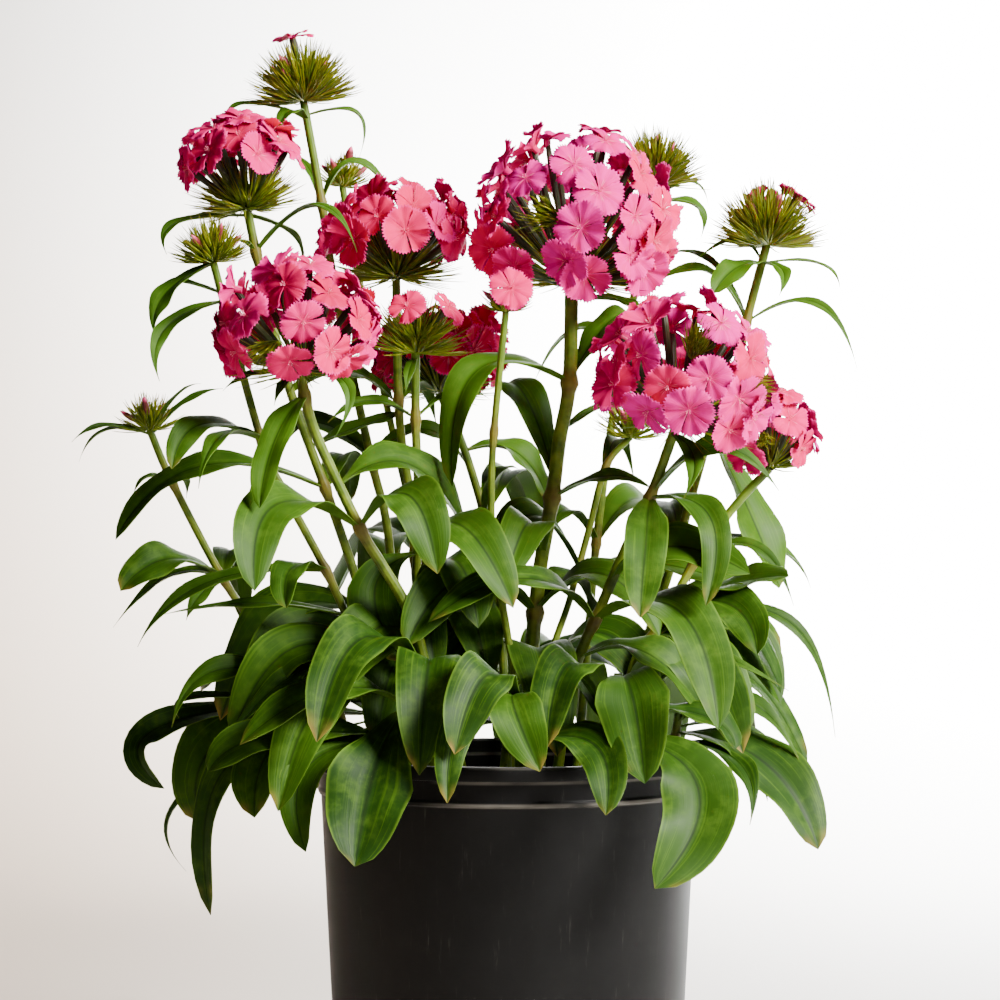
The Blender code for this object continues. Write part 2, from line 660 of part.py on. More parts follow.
def pot_solid():
    inner_base = BASE_RADIUS - WALL
    ledge = POT_HEIGHT - LIP_DEPTH + LIP_LEDGE
    profile = [
        (0.0, 0.0),
        (BASE_RADIUS - EDGE, 0.0),
        (BASE_RADIUS, EDGE),
        (COLLAR_RADIUS - STEP_OUT, COLLAR_BOTTOM - 1.5 * EDGE),
        (COLLAR_RADIUS + STEP_OUT, COLLAR_BOTTOM - EDGE),
        (COLLAR_RADIUS + STEP_OUT, COLLAR_BOTTOM + EDGE),
        (COLLAR_RADIUS, COLLAR_BOTTOM + 1.5 * EDGE),
        (COLLAR_RADIUS + STEP_OUT, ledge),
        (RIM_RADIUS - WALL, ledge),
        (RIM_RADIUS - WALL, POT_HEIGHT - LIP_DEPTH),
        (RIM_RADIUS, POT_HEIGHT - LIP_DEPTH),
        (RIM_RADIUS, POT_HEIGHT - EDGE),
        (RIM_RADIUS - EDGE, POT_HEIGHT),
        (COLLAR_RADIUS - WALL + STEP_OUT, POT_HEIGHT),
        (COLLAR_RADIUS - WALL, COLLAR_BOTTOM),
        (inner_base, FLOOR),
        (0.0, FLOOR),
    ]
    return turned(profile, POT_SIDES)


def soil_solid():
    inner_base = BASE_RADIUS - WALL
    inner_top = COLLAR_RADIUS - WALL
    share = (SOIL_TOP - FLOOR) / (COLLAR_BOTTOM - FLOOR)
    top_radius = inner_base + (inner_top - inner_base) * share
    profile = [
        (0.0, FLOOR + GAP),
        (inner_base - GAP, FLOOR + GAP),
        (top_radius - GAP, SOIL_TOP),
        (top_radius * 0.55, SOIL_TOP + SOIL_CROWN),
        (0.0, SOIL_TOP + SOIL_CROWN),
    ]
    return turned(profile, POT_SIDES)


def upright_foot(foot):
    """The two points of a stem between the bottom of its hole and just above the soil."""
    start = Vector((*foot, SOIL_TOP - HOLE_DEPTH + GAP + FOOT_ABOVE_HOLE))
    above = Vector((*foot, SOIL_TOP + SOIL_CROWN + ABOVE_SOIL))
    return [start, above]


def grow_stem(foot, top_depth, radius, route, knots):
    """A stem's middle line from its hole to its top, and its radius at each ring."""
    low_z = route[0][1]
    high_z = route[-1][1]
    path = upright_foot(foot)
    for x, z in route:
        share = EARLY_LEAN + (1.0 - EARLY_LEAN) * (z - low_z) / (high_z - low_z)
        path.append(seen_at(x, foot[1] + (top_depth - foot[1]) * share, z))
    stem = {"path": path}
    places = [(point.z, radius, point) for point in path]
    for knot in knots:
        for offset, swell in ((-KNOT_HALF, 1.0), (0.0, KNOT_SWELL), (KNOT_HALF, 1.0)):
            places.append((knot + offset, radius * swell, on_route(stem, knot + offset)))
    places.sort(key=lambda place: place[0])
    kept = [places[0]]
    for place in places[1:]:
        if place[0] - kept[-1][0] > STEP_APART:
            kept.append(place)
        elif place[1] > kept[-1][1]:
            kept[-1] = place
    stem["centres"] = [place[2] for place in kept]
    stem["radii"] = [place[1] for place in kept]
    stem["radii"][-1] *= STEM_TAPER
    return stem


def grow_shoot(foot, height):
    path = upright_foot(foot)
    path.append(Vector((foot[0] * (1.0 + SHOOT_LEAN), foot[1] * (1.0 + SHOOT_LEAN), height)))
    radii = [SHOOT_RADIUS, SHOOT_RADIUS * 1.1, SHOOT_RADIUS * 0.7]
    return {"path": path, "centres": path, "radii": radii}


def place_head(stem, axis):
    """A turn and a place that stand a head on the top of its stem."""
    turn = Vector(axis).normalized().to_track_quat("Z", "Y").to_matrix().to_4x4()
    return Matrix.Translation(stem["path"][-1]) @ turn


def moved(solid, place):
    points, faces = solid
    return [place @ point for point in points], faces


def direction(polar, around):
    """A unit vector at an angle from +Z, turned round it."""
    flat = math.sin(polar)
    return Vector((flat * math.cos(around), flat * math.sin(around), math.cos(polar)))


def dome_and_cup(width, height):
    """The pink dome that florets stand on, and the green cup below it with a gap between them."""
    half = width / 2.0 - DOME_RIM
    rise = height - TOP_PETALS
    floor = DOME_FLOOR * height
    dome = [
        (0.0, floor),
        (half * 0.35, floor),
        (half * 0.70, floor + 0.18 * rise),
        (half * 0.74, floor + 0.40 * rise),
        (half * 0.52, floor + 0.64 * rise),
        (0.0, floor + 0.75 * rise),
    ]
    cup = [(0.0, -CUP_DEPTH), (CUP_RADIUS, -CUP_DEPTH), (half * 0.33, floor - GAP), (0.0, floor - GAP)]
    return turned(dome, DOME_SIDES), turned(cup, DOME_SIDES)


def dome_florets(width, height, count, spread, chance):
    """Florets on a golden-angle spiral over the dome, each leaning a little its own way."""
    half = width / 2.0 - DOME_RIM
    rise = height - TOP_PETALS
    middle = Vector((0.0, 0.0, DOME_FLOOR * height + DOME_MIDDLE * rise))
    scale = FLORET_RADIUS if width > SMALL_HEAD else FLORET_RADIUS * SMALL_FLORET
    found = []
    for number in range(count):
        outward = direction(math.radians(spread) * math.sqrt((number + 0.35) / count), number * GOLDEN_ANGLE)
        reach = Vector((outward.x * (half + 0.5), outward.y * (half + 0.5), outward.z * rise * DOME_RISE))
        stray = Vector([chance.uniform(-1.6, 1.6) for _ in range(3)])
        size = scale * chance.uniform(0.9, 1.06)
        spin = chance.uniform(0.0, 2.0 * math.pi)
        found.append(floret(middle + reach * 0.5, middle + reach + stray, size, spin))
    return found


def bract_ring(place, middle, count, angles, inner, outer, chance):
    """Bristles that fan out of a head: root and tip of each, between two angles from its axis."""
    low, high = angles
    found = []
    for number in range(count):
        polar = math.radians(low + (high - low) * (number + 0.5) / count)
        outward = direction(polar, number * GOLDEN_ANGLE + chance.uniform(-0.15, 0.15))
        reach = outer * chance.uniform(0.88, 1.05)
        found.append((place @ (middle + outward * inner), place @ (middle + outward * reach)))
    return found


class Plant:
    """The solids of each piece while the plant grows, and the crowd that they must stay clear of."""

    def __init__(self):
        self.green = {}
        self.flowers = {}
        self.stems = {}
        self.crowd = Crowd()
        self.chance = random.Random(SEED)

    def add(self, pieces, owner, solid, wider=None):
        """Adds a solid to a piece, and says so where it or its wider outline meets another piece."""
        met = self.crowd.meets(owner, wider or solid)
        if met:
            print("a solid of", owner, "meets", met)
        pieces.setdefault(owner, []).append(solid)
        self.crowd.add(owner, solid)

    def add_bracts(self, owner, bracts):
        """Adds the bristles that stay clear of every other piece, shortened where that is enough."""
        for root, tip in bracts:
            for share in BRACT_SHARES:
                end = root.lerp(tip, share)
                past = end + (end - root).normalized() * GAP
                if self.crowd.meets(owner, spike(root, past, BRACT_RADIUS + GAP)):
                    continue
                self.add(self.green, owner, spike(root, end, BRACT_RADIUS))
                break

    def grow_stems(self):
        for name, row in STEMS.items():
            self.stems[name] = grow_stem(*row)
        for name, row in SHOOTS.items():
            self.stems[name] = grow_shoot(*row)
        for name, stem in self.stems.items():
            wider = tube(stem["centres"], [radius + GAP for radius in stem["radii"]], STEM_SIDES)
            self.add(self.green, name, tube(stem["centres"], stem["radii"], STEM_SIDES), wider)

    def grow_blooms(self):
        for name, (axis, width, height, count, spread) in BLOOMS.items():
            place = place_head(self.stems[name], axis)
            dome, cup = dome_and_cup(width, height)
            blooms = "blooms_" + name
            self.add(self.flowers, blooms, moved(dome, place))
            for solid in dome_florets(width, height, count, spread, self.chance):
                self.add(self.flowers, blooms, moved(solid, place))
            self.add(self.green, name, moved(cup, place))

    def grow_bristly_cores(self):
        for name, (axis, width, height, *_) in BRISTLES.items():
            place = place_head(self.stems[name], axis)
            self.add(self.green, name, moved(bristly_core(width, height), place))

    def grow_singles(self):
        """Single florets and buds, each with its foot just off the core that it stands on."""
        for name, (stem, way, distance, radius) in SINGLES.items():
            axis, width, height, *_ = BRISTLES[stem]
            outward = Vector(way).normalized()
            start = Vector((0.0, 0.0, height * CORE_LIFT)) + outward * height
            core = BVHTree.FromPolygons(*bristly_core(width, height))
            foot = core.ray_cast(start, -outward)[0] + outward * GAP
            if name.startswith("bud"):
                solid = oval(foot + outward * BUD_HALF, outward, radius, BUD_HALF, 2, 6)
            else:
                solid = floret(foot, foot + outward * distance, radius, 0.3)
            self.add(self.flowers, name, moved(solid, place_head(self.stems[stem], axis)))

    def grow_bracts(self):
        for name, (axis, width, height, *_) in BLOOMS.items():
            place = place_head(self.stems[name], axis)
            middle = Vector((0.0, 0.0, height * 0.1))
            bracts = bract_ring(place, middle, BLOOM_BRACTS, COLLAR_ANGLES, 1.0, width * 0.36, self.chance)
            self.add_bracts(name, bracts)
        for name, (axis, width, height, reach, count) in BRISTLES.items():
            place = place_head(self.stems[name], axis)
            middle = Vector((0.0, 0.0, height * CORE_LIFT))
            outer = width / 2.0 + reach
            bracts = bract_ring(place, middle, count, CROWN_ANGLES, width * 0.3, outer, self.chance)
            self.add_bracts(name, bracts)

    def add_leaf(self, owner, root, crest, tip, width):
        solid = blade(root, crest, tip, width)
        self.add(self.green, owner, solid, blade(root, crest, tip, width, GAP))

    def grow_leaves(self):
        for owner, height, crest, tip, depth, width in LEAVES:
            root = on_route(self.stems[owner], height)
            half_way = root.y + (depth - root.y) * CREST_DEPTH
            bend = seen_at(crest[0], half_way, crest[1])
            self.add_leaf(owner, root, bend, seen_at(tip[0], depth, tip[1]), width)
        for owner, height, turn, reach, rise, drop, width in FAR_LEAVES:
            root = on_route(self.stems[owner], height)
            out = direction(math.pi / 2.0, math.radians(turn))
            bend = root + out * (reach * CREST_DEPTH) + Vector((0.0, 0.0, rise))
            tip = root + out * reach + Vector((0.0, 0.0, rise - drop))
            self.add_leaf(owner, root, bend, tip, width)


def bristly_core(width, height):
    """The green egg under the bristles of a head."""
    return oval(Vector((0.0, 0.0, height * CORE_LIFT)), Vector((0.0, 0.0, 1.0)), width / 2.0, height / 2.0)


def cut_holes(soil, stems):
    """Plain upright holes for the feet of the stems."""
    cutters = bpy.data.collections.new("holes")
    bpy.context.scene.collection.children.link(cutters)
    for name, stem in stems.items():
        foot = stem["path"][0].xy
        low = Vector((*foot, SOIL_TOP - HOLE_DEPTH))
        high = Vector((*foot, SOIL_TOP + SOIL_CROWN + HOLE_DEPTH))
        radius = max(stem["radii"][:2]) * HOLE_WIDER + GAP
        hole = tube([low, high], [radius, radius], HOLE_SIDES)
        cutter = bpy.data.objects.new("hole_" + name, mesh_from("hole", hole))
        cutters.objects.link(cutter)
    combine(soil, cutters, "DIFFERENCE")


def main():
    clear_scene()
    green = material("leaf_green", GREEN, 0.5)
    pink = material("petal_pink", PINK, 0.55)
    red = material("bud_red", BUD_RED, 0.5)
    black = material("pot_black", POT_BLACK, 0.42)
    brown = material("soil_brown", SOIL_BROWN, 0.95)

    plant = Plant()
    plant.crowd.add("pot", pot_solid())
    plant.grow_stems()
    plant.crowd.add("soil", soil_solid())
    plant.grow_blooms()
    plant.grow_bristly_cores()
    plant.grow_singles()
    plant.grow_bracts()
    plant.grow_leaves()

    pot = add_object("pot", mesh_from("pot", pot_solid()), black)
    pot.data.shade_smooth()
    pot.data.set_sharp_from_angle(angle=math.radians(30))
    soil = add_object("soil", mesh_from("soil", soil_solid()), brown)
    cut_holes(soil, plant.stems)
    for name, solids in plant.green.items():
        fuse(name if name in SHOOTS else "stem_" + name, solids, green)
    for name, solids in plant.flowers.items():
        fuse(name, solids, red if name.startswith("bud") else pink)


main()
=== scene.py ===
# %% [markdown]
# # A flowering dianthus in its nursery pot
# The plain solids of this plant are already made: a pot, its soil, leafy stems, domed heads of pink
# florets and green bristly heads. This file gives each of them its fine form and its finish. Every
# place and size below is in millimetres, as in the solids, and turns into metres at the very end.

import json
import math
import random

import bpy
from mathutils import Matrix, Vector

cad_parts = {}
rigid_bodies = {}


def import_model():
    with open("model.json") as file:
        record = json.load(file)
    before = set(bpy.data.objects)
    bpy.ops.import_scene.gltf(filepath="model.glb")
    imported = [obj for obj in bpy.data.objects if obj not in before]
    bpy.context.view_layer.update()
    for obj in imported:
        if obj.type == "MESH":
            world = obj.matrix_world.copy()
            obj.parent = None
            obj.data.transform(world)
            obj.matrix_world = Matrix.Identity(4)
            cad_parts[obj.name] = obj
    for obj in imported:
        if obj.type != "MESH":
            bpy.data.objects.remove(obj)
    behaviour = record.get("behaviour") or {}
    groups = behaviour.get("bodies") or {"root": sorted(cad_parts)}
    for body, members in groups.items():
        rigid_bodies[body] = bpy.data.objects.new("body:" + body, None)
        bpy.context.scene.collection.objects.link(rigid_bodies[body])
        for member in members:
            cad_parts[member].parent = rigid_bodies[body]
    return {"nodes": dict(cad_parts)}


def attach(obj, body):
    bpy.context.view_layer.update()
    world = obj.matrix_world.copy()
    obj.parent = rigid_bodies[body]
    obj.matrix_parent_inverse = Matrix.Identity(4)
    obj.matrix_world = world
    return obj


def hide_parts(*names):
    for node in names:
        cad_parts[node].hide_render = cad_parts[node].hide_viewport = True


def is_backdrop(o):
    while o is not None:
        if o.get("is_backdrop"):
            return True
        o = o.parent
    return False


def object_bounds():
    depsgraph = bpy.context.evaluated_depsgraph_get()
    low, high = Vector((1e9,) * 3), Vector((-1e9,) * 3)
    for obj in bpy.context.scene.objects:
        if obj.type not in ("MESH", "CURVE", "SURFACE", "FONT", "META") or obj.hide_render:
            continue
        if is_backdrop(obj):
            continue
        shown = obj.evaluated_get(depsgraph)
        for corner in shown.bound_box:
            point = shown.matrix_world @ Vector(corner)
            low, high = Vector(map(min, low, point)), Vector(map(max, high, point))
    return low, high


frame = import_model()
solid_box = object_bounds()
print("plain solids:", len(frame["nodes"]))

# %% [markdown]
# A living plant has no drawing, so its shape is kept as tables: where each stem stands and which way
# it grows, how wide each head is, and where each leaf starts, crests and ends. They are read from
# the plant as it looks in the upright plane through the pot's axis, and a depth is added.

# %% Sizes of the pot, the soil and the place that the plant is looked at from
MM = 0.001
EYE_X = -3.4
EYE_DISTANCE = 1369.4
EYE_HEIGHT = 268.3

RIM_RADIUS = 82.5
POT_HEIGHT = 165.0
COLLAR_RADIUS = 77.3
COLLAR_BOTTOM = 150.0
BASE_RADIUS = 69.0
WALL = 1.5
POT_FLOOR = 2.0
SOIL_TOP = 142.0
STEM_FOOT = 131.5
GOLDEN_ANGLE = math.pi * (3.0 - math.sqrt(5.0))
ONE_TURN = 6.28

# %% Stems: foot (x, y), depth of the top, radius, route as (x, z), heights of the knots
STEMS = {
    "tall_left": ((-38, 16), 35, 2.0,
        [(-45, 190), (-49, 252), (-56, 284), (-65, 324), (-71, 354), (-77, 393), (-84, 432)], [284, 393]),
    "left": ((-46, -8), -10, 2.1,
        [(-48, 190), (-57, 219), (-65, 244), (-75, 273), (-90, 315), (-101, 359), (-107, 387)], [273, 369]),
    "small_left": ((-46, -30), -50, 1.8,
        [(-53, 194), (-65, 218), (-75, 240), (-91, 270), (-101, 292), (-116, 347), (-121, 366)],
        [205, 240, 292]),
    "front_left": ((-24, -42), -62, 2.3,
        [(-34, 200), (-42, 225), (-52, 242), (-61, 257), (-78, 293), (-83, 309), (-85, 321)], [257, 309]),
    "middle_left": ((-24, 10), 5, 2.0,
        [(-32, 190), (-37, 225), (-40, 268), (-43, 287), (-45, 309), (-46, 359)], [245, 309]),
    "front_middle": ((-28, -18), -28, 2.0,
        [(-36, 190), (-38, 217), (-37, 268), (-38, 301), (-38, 329)], [217, 301]),
    "behind_middle": ((0, 28), 45, 2.0,
        [(-2, 200), (-4, 236), (-7, 252), (-18, 289), (-28, 312)], [262]),
    "behind_left": ((-18, 46), 68, 1.7,
        [(-24, 190), (-34, 240), (-46, 290), (-57, 340), (-64, 372), (-68, 397)], [240, 340]),
    "centre": ((10, -8), -10, 3.2,
        [(9, 190), (10, 211), (13, 240), (18, 269), (21, 293), (25, 316), (26, 356)], [222, 269, 316]),
    "behind_right": ((28, 42), 60, 1.9,
        [(31, 190), (36, 250), (44, 310), (53, 360), (60, 398)], [250, 330]),
    "side": ((-4, -40), -48, 1.6,
        [(2, 194), (0, 211), (-6, 250), (-7, 268), (-6, 295), (-1, 346)], [250, 295]),
    "tall_right": ((42, 22), 35, 2.1,
        [(50, 196), (58, 215), (70, 252), (83, 297), (93, 322), (98, 343), (106, 373)], [252, 343]),
    "front_right": ((18, -32), -48, 2.3,
        [(25, 190), (31, 209), (36, 220), (48, 248), (58, 269), (69, 299)], [220, 269]),
    "low_right": ((42, -10), -5, 2.0,
        [(50, 196), (58, 211), (66, 224), (77, 244), (93, 266), (107, 281)], [211, 244]),
    "far_left": ((-60, 10), 10, 1.8,
        [(-68, 175), (-89, 198), (-101, 213), (-117, 236), (-138, 276), (-147, 297)], [236, 276]),
    "bud": ((14, 16), 30, 1.6,
        [(15, 194), (25, 227), (33, 256), (40, 282), (50, 294)], [240, 282]),
}

# %% Short leafy shoots at the foot of the plant: foot (x, y) and height
SHOOTS = {
    "shoot_left": ((-64, -16), 190),
    "shoot_left_back": ((-52, 38), 186),
    "shoot_front_left": ((-38, -56), 190),
    "shoot_front": ((4, -64), 192),
    "shoot_front_right": ((40, -50), 200),
    "shoot_right": ((64, -14), 182),
    "shoot_right_back": ((52, 44), 190),
    "shoot_back": ((2, 64), 190),
}

# %% Heads with open florets: axis, width, height, florets, reach round in degrees, blush and shade, bristles
# The blush of a head is partly painted shade: higher for the heads on the shaded left and at the back.
BLOOMS = {
    "left": ((-0.15, -0.1, 1.0), 52, 37, 16, 78, 0.5, 420),
    "front_left": ((-0.1, -0.35, 1.0), 62, 43, 27, 112, 0.5, 170),
    "middle_left": ((0.0, 0.0, 1.0), 63, 37, 25, 94, 0.5, 340),
    "behind_middle": ((0.0, 0.1, 1.0), 55, 33, 22, 98, 0.85, 220),
    "centre": ((0.05, -0.1, 1.0), 81, 62, 50, 124, 0.3, 240),
    "front_right": ((0.15, -0.3, 1.0), 72, 49, 38, 116, 0.26, 160),
    "low_right": ((-0.05, -0.1, 1.0), 38, 32, 16, 112, 0.3, 140),
}

# %% Tufts of bristles that stand between the florets of an open head: head, direction, bristles
TUFTS = [
    ("front_right", (-0.25, -0.6, 0.76), 170),
    ("front_right", (0.62, -0.76, 0.1), 150),
    ("low_right", (0.25, -0.95, 0.05), 150),
    ("centre", (-0.75, -0.6, 0.1), 120),
    ("front_left", (-0.2, -0.95, -0.1), 110),
]

# %% Green bristly heads: axis, core width, core height, reach of the bracts, bracts, buds
BRISTLES = {
    "tall_left": ((-0.1, 0.0, 1.0), 17, 19, 13, 600, 7),
    "small_left": ((-0.1, -0.1, 1.0), 12, 14, 9, 240, 4),
    "front_middle": ((0.1, -0.1, 1.0), 15, 16, 12, 300, 5),
    "behind_left": ((0.1, 0.0, 1.0), 9, 11, 7, 150, 4),
    "behind_right": ((0.0, 0.0, 1.0), 17, 15, 12, 520, 5),
    "side": ((0.0, -0.2, 1.0), 7, 8, 6, 110, 6),
    "tall_right": ((0.05, 0.0, 1.0), 19, 16, 14, 560, 6),
    "far_left": ((-0.1, 0.0, 1.0), 10, 11, 8, 130, 3),
    "bud": ((0.1, -0.1, 1.0), 12, 12, 9, 120, 9),
}

# %% Single flowers on a bristly head: stem, direction, distance, radius, blush and shade
# The blush of a single flower is partly painted shade: higher on the shaded left.
SINGLES = {
    "floret_tall_left": ("tall_left", (0.05, -0.1, 1.0), 9, 9.2, 0.7),
    "floret_front_middle_left": ("front_middle", (-1.0, -0.5, 0.9), 11, 8.5, 0.6),
    "floret_front_middle_right": ("front_middle", (0.3, -0.9, 0.9), 10, 8.5, 0.5),
    "floret_side": ("side", (0.2, -1.0, 0.7), 8, 9.5, 0.45),
    "floret_tall_right": ("tall_right", (0.1, -0.9, 1.0), 9, 10.0, 0.5),
    "floret_tall_right_edge": ("tall_right", (1.0, 0.1, 0.8), 12, 8.0, 0.5),
}

# %% Single buds on a bristly head: stem, direction, radius
BUDS = {
    "bud_tall_left": ("tall_left", (0.9, -0.6, 0.8), 1.9),
    "bud_tall_right": ("tall_right", (-0.5, -0.3, 1.0), 2.0),
    "bud_behind_right": ("behind_right", (-0.1, -0.3, 1.0), 2.2),
    "bud_behind_left": ("behind_left", (-0.4, -0.2, 1.0), 1.8),
}

# %% Leaves: stem, then height of the root, crest (x, z), tip (x, z), depth of the tip, width
LEAVES = [
    ("front_left", [(257, (-96, 266), (-104, 231), -108, 19), (309, (-96, 293), (-102, 265), -95, 11.5),
        (257, (-42, 270), (-29, 238), -78, 19)]),
    ("front_right", [(269, (54, 250), (54, 220), -95, 15), (220, (67, 222), (86, 174), -95, 20)]),
    ("shoot_front_left", [(186, (-51, 158), (-63, 118), -104, 28)]),
    ("shoot_front_right", [(196, (52, 190), (56, 152), -98, 24), (176, (75, 150), (60, 109), -92, 24)]),
    ("shoot_right", [(174, (105, 160), (127, 125), -42, 20)]),
    ("shoot_left_back", [(178, (-116, 172), (-126, 136), 20, 22)]),
    ("left", [(273, (-126, 282), (-161, 252), -25, 12.5)]),
    ("small_left", [(292, (-126, 299), (-138, 281), -72, 11), (292, (-120, 294), (-127, 273), -88, 8),
        (347, (-141, 338), (-143, 317), -78, 6.5), (362, (-141, 352), (-145, 336), -58, 9),
        (350, (-135, 358), (-143, 355), -36, 3.4), (240, (-88, 240), (-91, 224), -66, 12),
        (240, (-124, 234), (-152, 208), -45, 7.5), (222, (-102, 226), (-143, 221), -36, 5.5),
        (205, (-90, 195), (-120, 162), -58, 9)]),
    ("centre", [(316, (-14, 321), (-23, 274), -32, 15), (316, (40, 340), (51, 343), 5, 12.5),
        (276, (9, 311), (-3, 313), 22, 15), (269, (41, 278), (60, 272), -14, 7),
        (295, (34, 305), (50, 311), 18, 3.6), (350, (47, 350), (54, 342), -26, 7)]),
    ("front_right", [(220, (5, 236), (-33, 218), -62, 14), (269, (81, 261), (81, 225), -76, 11.5),
        (236, (64, 249), (99, 238), -70, 17.5), (269, (85, 290), (111, 272), -52, 10),
        (294, (74, 285), (72, 269), -82, 7), (200, (34, 186), (44, 171), -74, 6)]),
    ("low_right", [(244, (101, 249), (117, 225), -22, 5.5), (224, (93, 234), (115, 237), -36, 14.5),
        (224, (93, 225), (102, 205), -50, 16), (211, (111, 221), (134, 171), -15, 5.5),
        (203, (79, 207), (115, 190), -40, 6)]),
    ("tall_right", [(343, (79, 363), (52, 351), 40, 5.5), (343, (79, 368), (58, 366), 64, 4),
        (343, (126, 349), (143, 322), 20, 4), (368, (93, 375), (75, 365), 30, 3.4),
        (368, (93, 363), (84, 353), 10, 11), (368, (112, 362), (111, 352), 12, 6),
        (368, (129, 365), (136, 352), 40, 3), (297, (99, 262), (111, 232), 24, 22),
        (252, (107, 250), (124, 232), 45, 6)]),
    ("bud", [(240, (62, 242), (97, 231), 4, 16)]),
    ("tall_left", [(430, (-108, 431), (-116, 423), 30, 3), (428, (-91, 427), (-95, 417), 18, 8),
        (430, (-62, 427), (-61, 409), 40, 3.4), (393, (-59, 406), (-35, 368), 48, 5.5),
        (393, (-84, 405), (-90, 410), 55, 3.6)]),
    ("left", [(369, (-78, 389), (-62, 370), -32, 5.5), (369, (-112, 375), (-118, 369), -25, 3.6),
        (384, (-88, 377), (-85, 363), 5, 6), (384, (-136, 382), (-140, 369), -20, 5),
        (290, (-59, 299), (-40, 305), 14, 9.5), (312, (-65, 321), (-47, 309), 26, 14),
        (222, (-98, 211), (-126, 190), 52, 17.5)]),
    ("front_left", [(319, (-66, 315), (-71, 294), -78, 5), (319, (-92, 316), (-96, 307), -84, 4),
        (319, (-105, 320), (-117, 313), -60, 4), (274, (-40, 283), (-18, 256), -24, 19)]),
    ("front_middle", [(301, (-57, 309), (-74, 300), -30, 6), (301, (-22, 313), (-7, 309), -12, 3.6),
        (325, (-41, 321), (-42, 312), -42, 4), (247, (-53, 231), (-43, 202), -46, 19),
        (217, (-34, 226), (-30, 192), -44, 12.6)]),
    ("middle_left", [(245, (-12, 255), (5, 244), -5, 16)]),
    ("behind_middle", [(289, (3, 288), (16, 268), 50, 16), (262, (-3, 279), (4, 281), 12, 6)]),
    ("behind_right", [(396, (77, 389), (79, 376), 60, 7), (396, (75, 399), (82, 389), 75, 3)]),
    ("far_left", [(236, (-139, 244), (-159, 231), -15, 16), (236, (-139, 237), (-162, 216), 22, 6),
        (236, (-128, 229), (-132, 219), -22, 6), (276, (-148, 278), (-154, 270), 5, 3.6),
        (276, (-133, 277), (-132, 269), 30, 3.6), (295, (-165, 297), (-176, 284), 20, 3),
        (295, (-165, 299), (-179, 292), -5, 3), (295, (-132, 309), (-117, 314), 15, 3.4),
        (295, (-137, 311), (-126, 316), -8, 3)]),
    ("left", [(219, (-92, 222), (-118, 178), 0, 22.5)]),
    ("tall_left", [(204, (-84, 202), (-112, 170), -8, 21)]),
    ("centre", [(222, (-18, 236), (-42, 208), -58, 19), (222, (38, 238), (62, 212), -30, 17.5)]),
    ("front_middle", [(217, (-58, 214), (-80, 184), -64, 21), (245, (-18, 258), (2, 224), -70, 19)]),
    ("front_right", [(205, (56, 206), (80, 180), -44, 19)]),
    ("low_right", [(211, (76, 208), (100, 176), -32, 19)]),
    ("tall_right", [(220, (84, 228), (112, 206), 42, 20)]),
    ("bud", [(240, (8, 262), (-10, 234), 10, 16)]),
    ("shoot_left", [(186, (-116, 199), (-138, 175), -30, 9.5), (180, (-95, 184), (-120, 150), 6, 20),
        (184, (-126, 188), (-135, 179), 0, 3.4), (168, (-116, 158), (-122, 98), -20, 12),
        (172, (-96, 168), (-104, 138), -50, 20)]),
    ("shoot_left_back", [(184, (-141, 176), (-141, 150), -4, 12), (176, (-130, 150), (-132, 116), 42, 4)]),
    ("shoot_front_left", [(188, (-73, 190), (-110, 168), -80, 15),
        (174, (-96, 172), (-123, 157), -62, 14), (172, (-80, 160), (-83, 124), -84, 13)]),
    ("shoot_front", [(190, (3, 184), (13, 157), -100, 17.5), (188, (-12, 196), (-22, 164), -104, 18)]),
    ("shoot_front_right", [(182, (24, 201), (16, 167), -90, 17.5)]),
    ("shoot_front", [(176, (-18, 176), (-25, 144), -106, 11), (172, (34, 168), (40, 139), -106, 15)]),
    ("shoot_front_right", [(184, (79, 180), (93, 166), -60, 14)]),
    ("shoot_right", [(178, (97, 186), (121, 158), -30, 7.5), (176, (94, 176), (114, 162), -14, 4),
        (170, (95, 160), (99, 135), -62, 8)]),
]

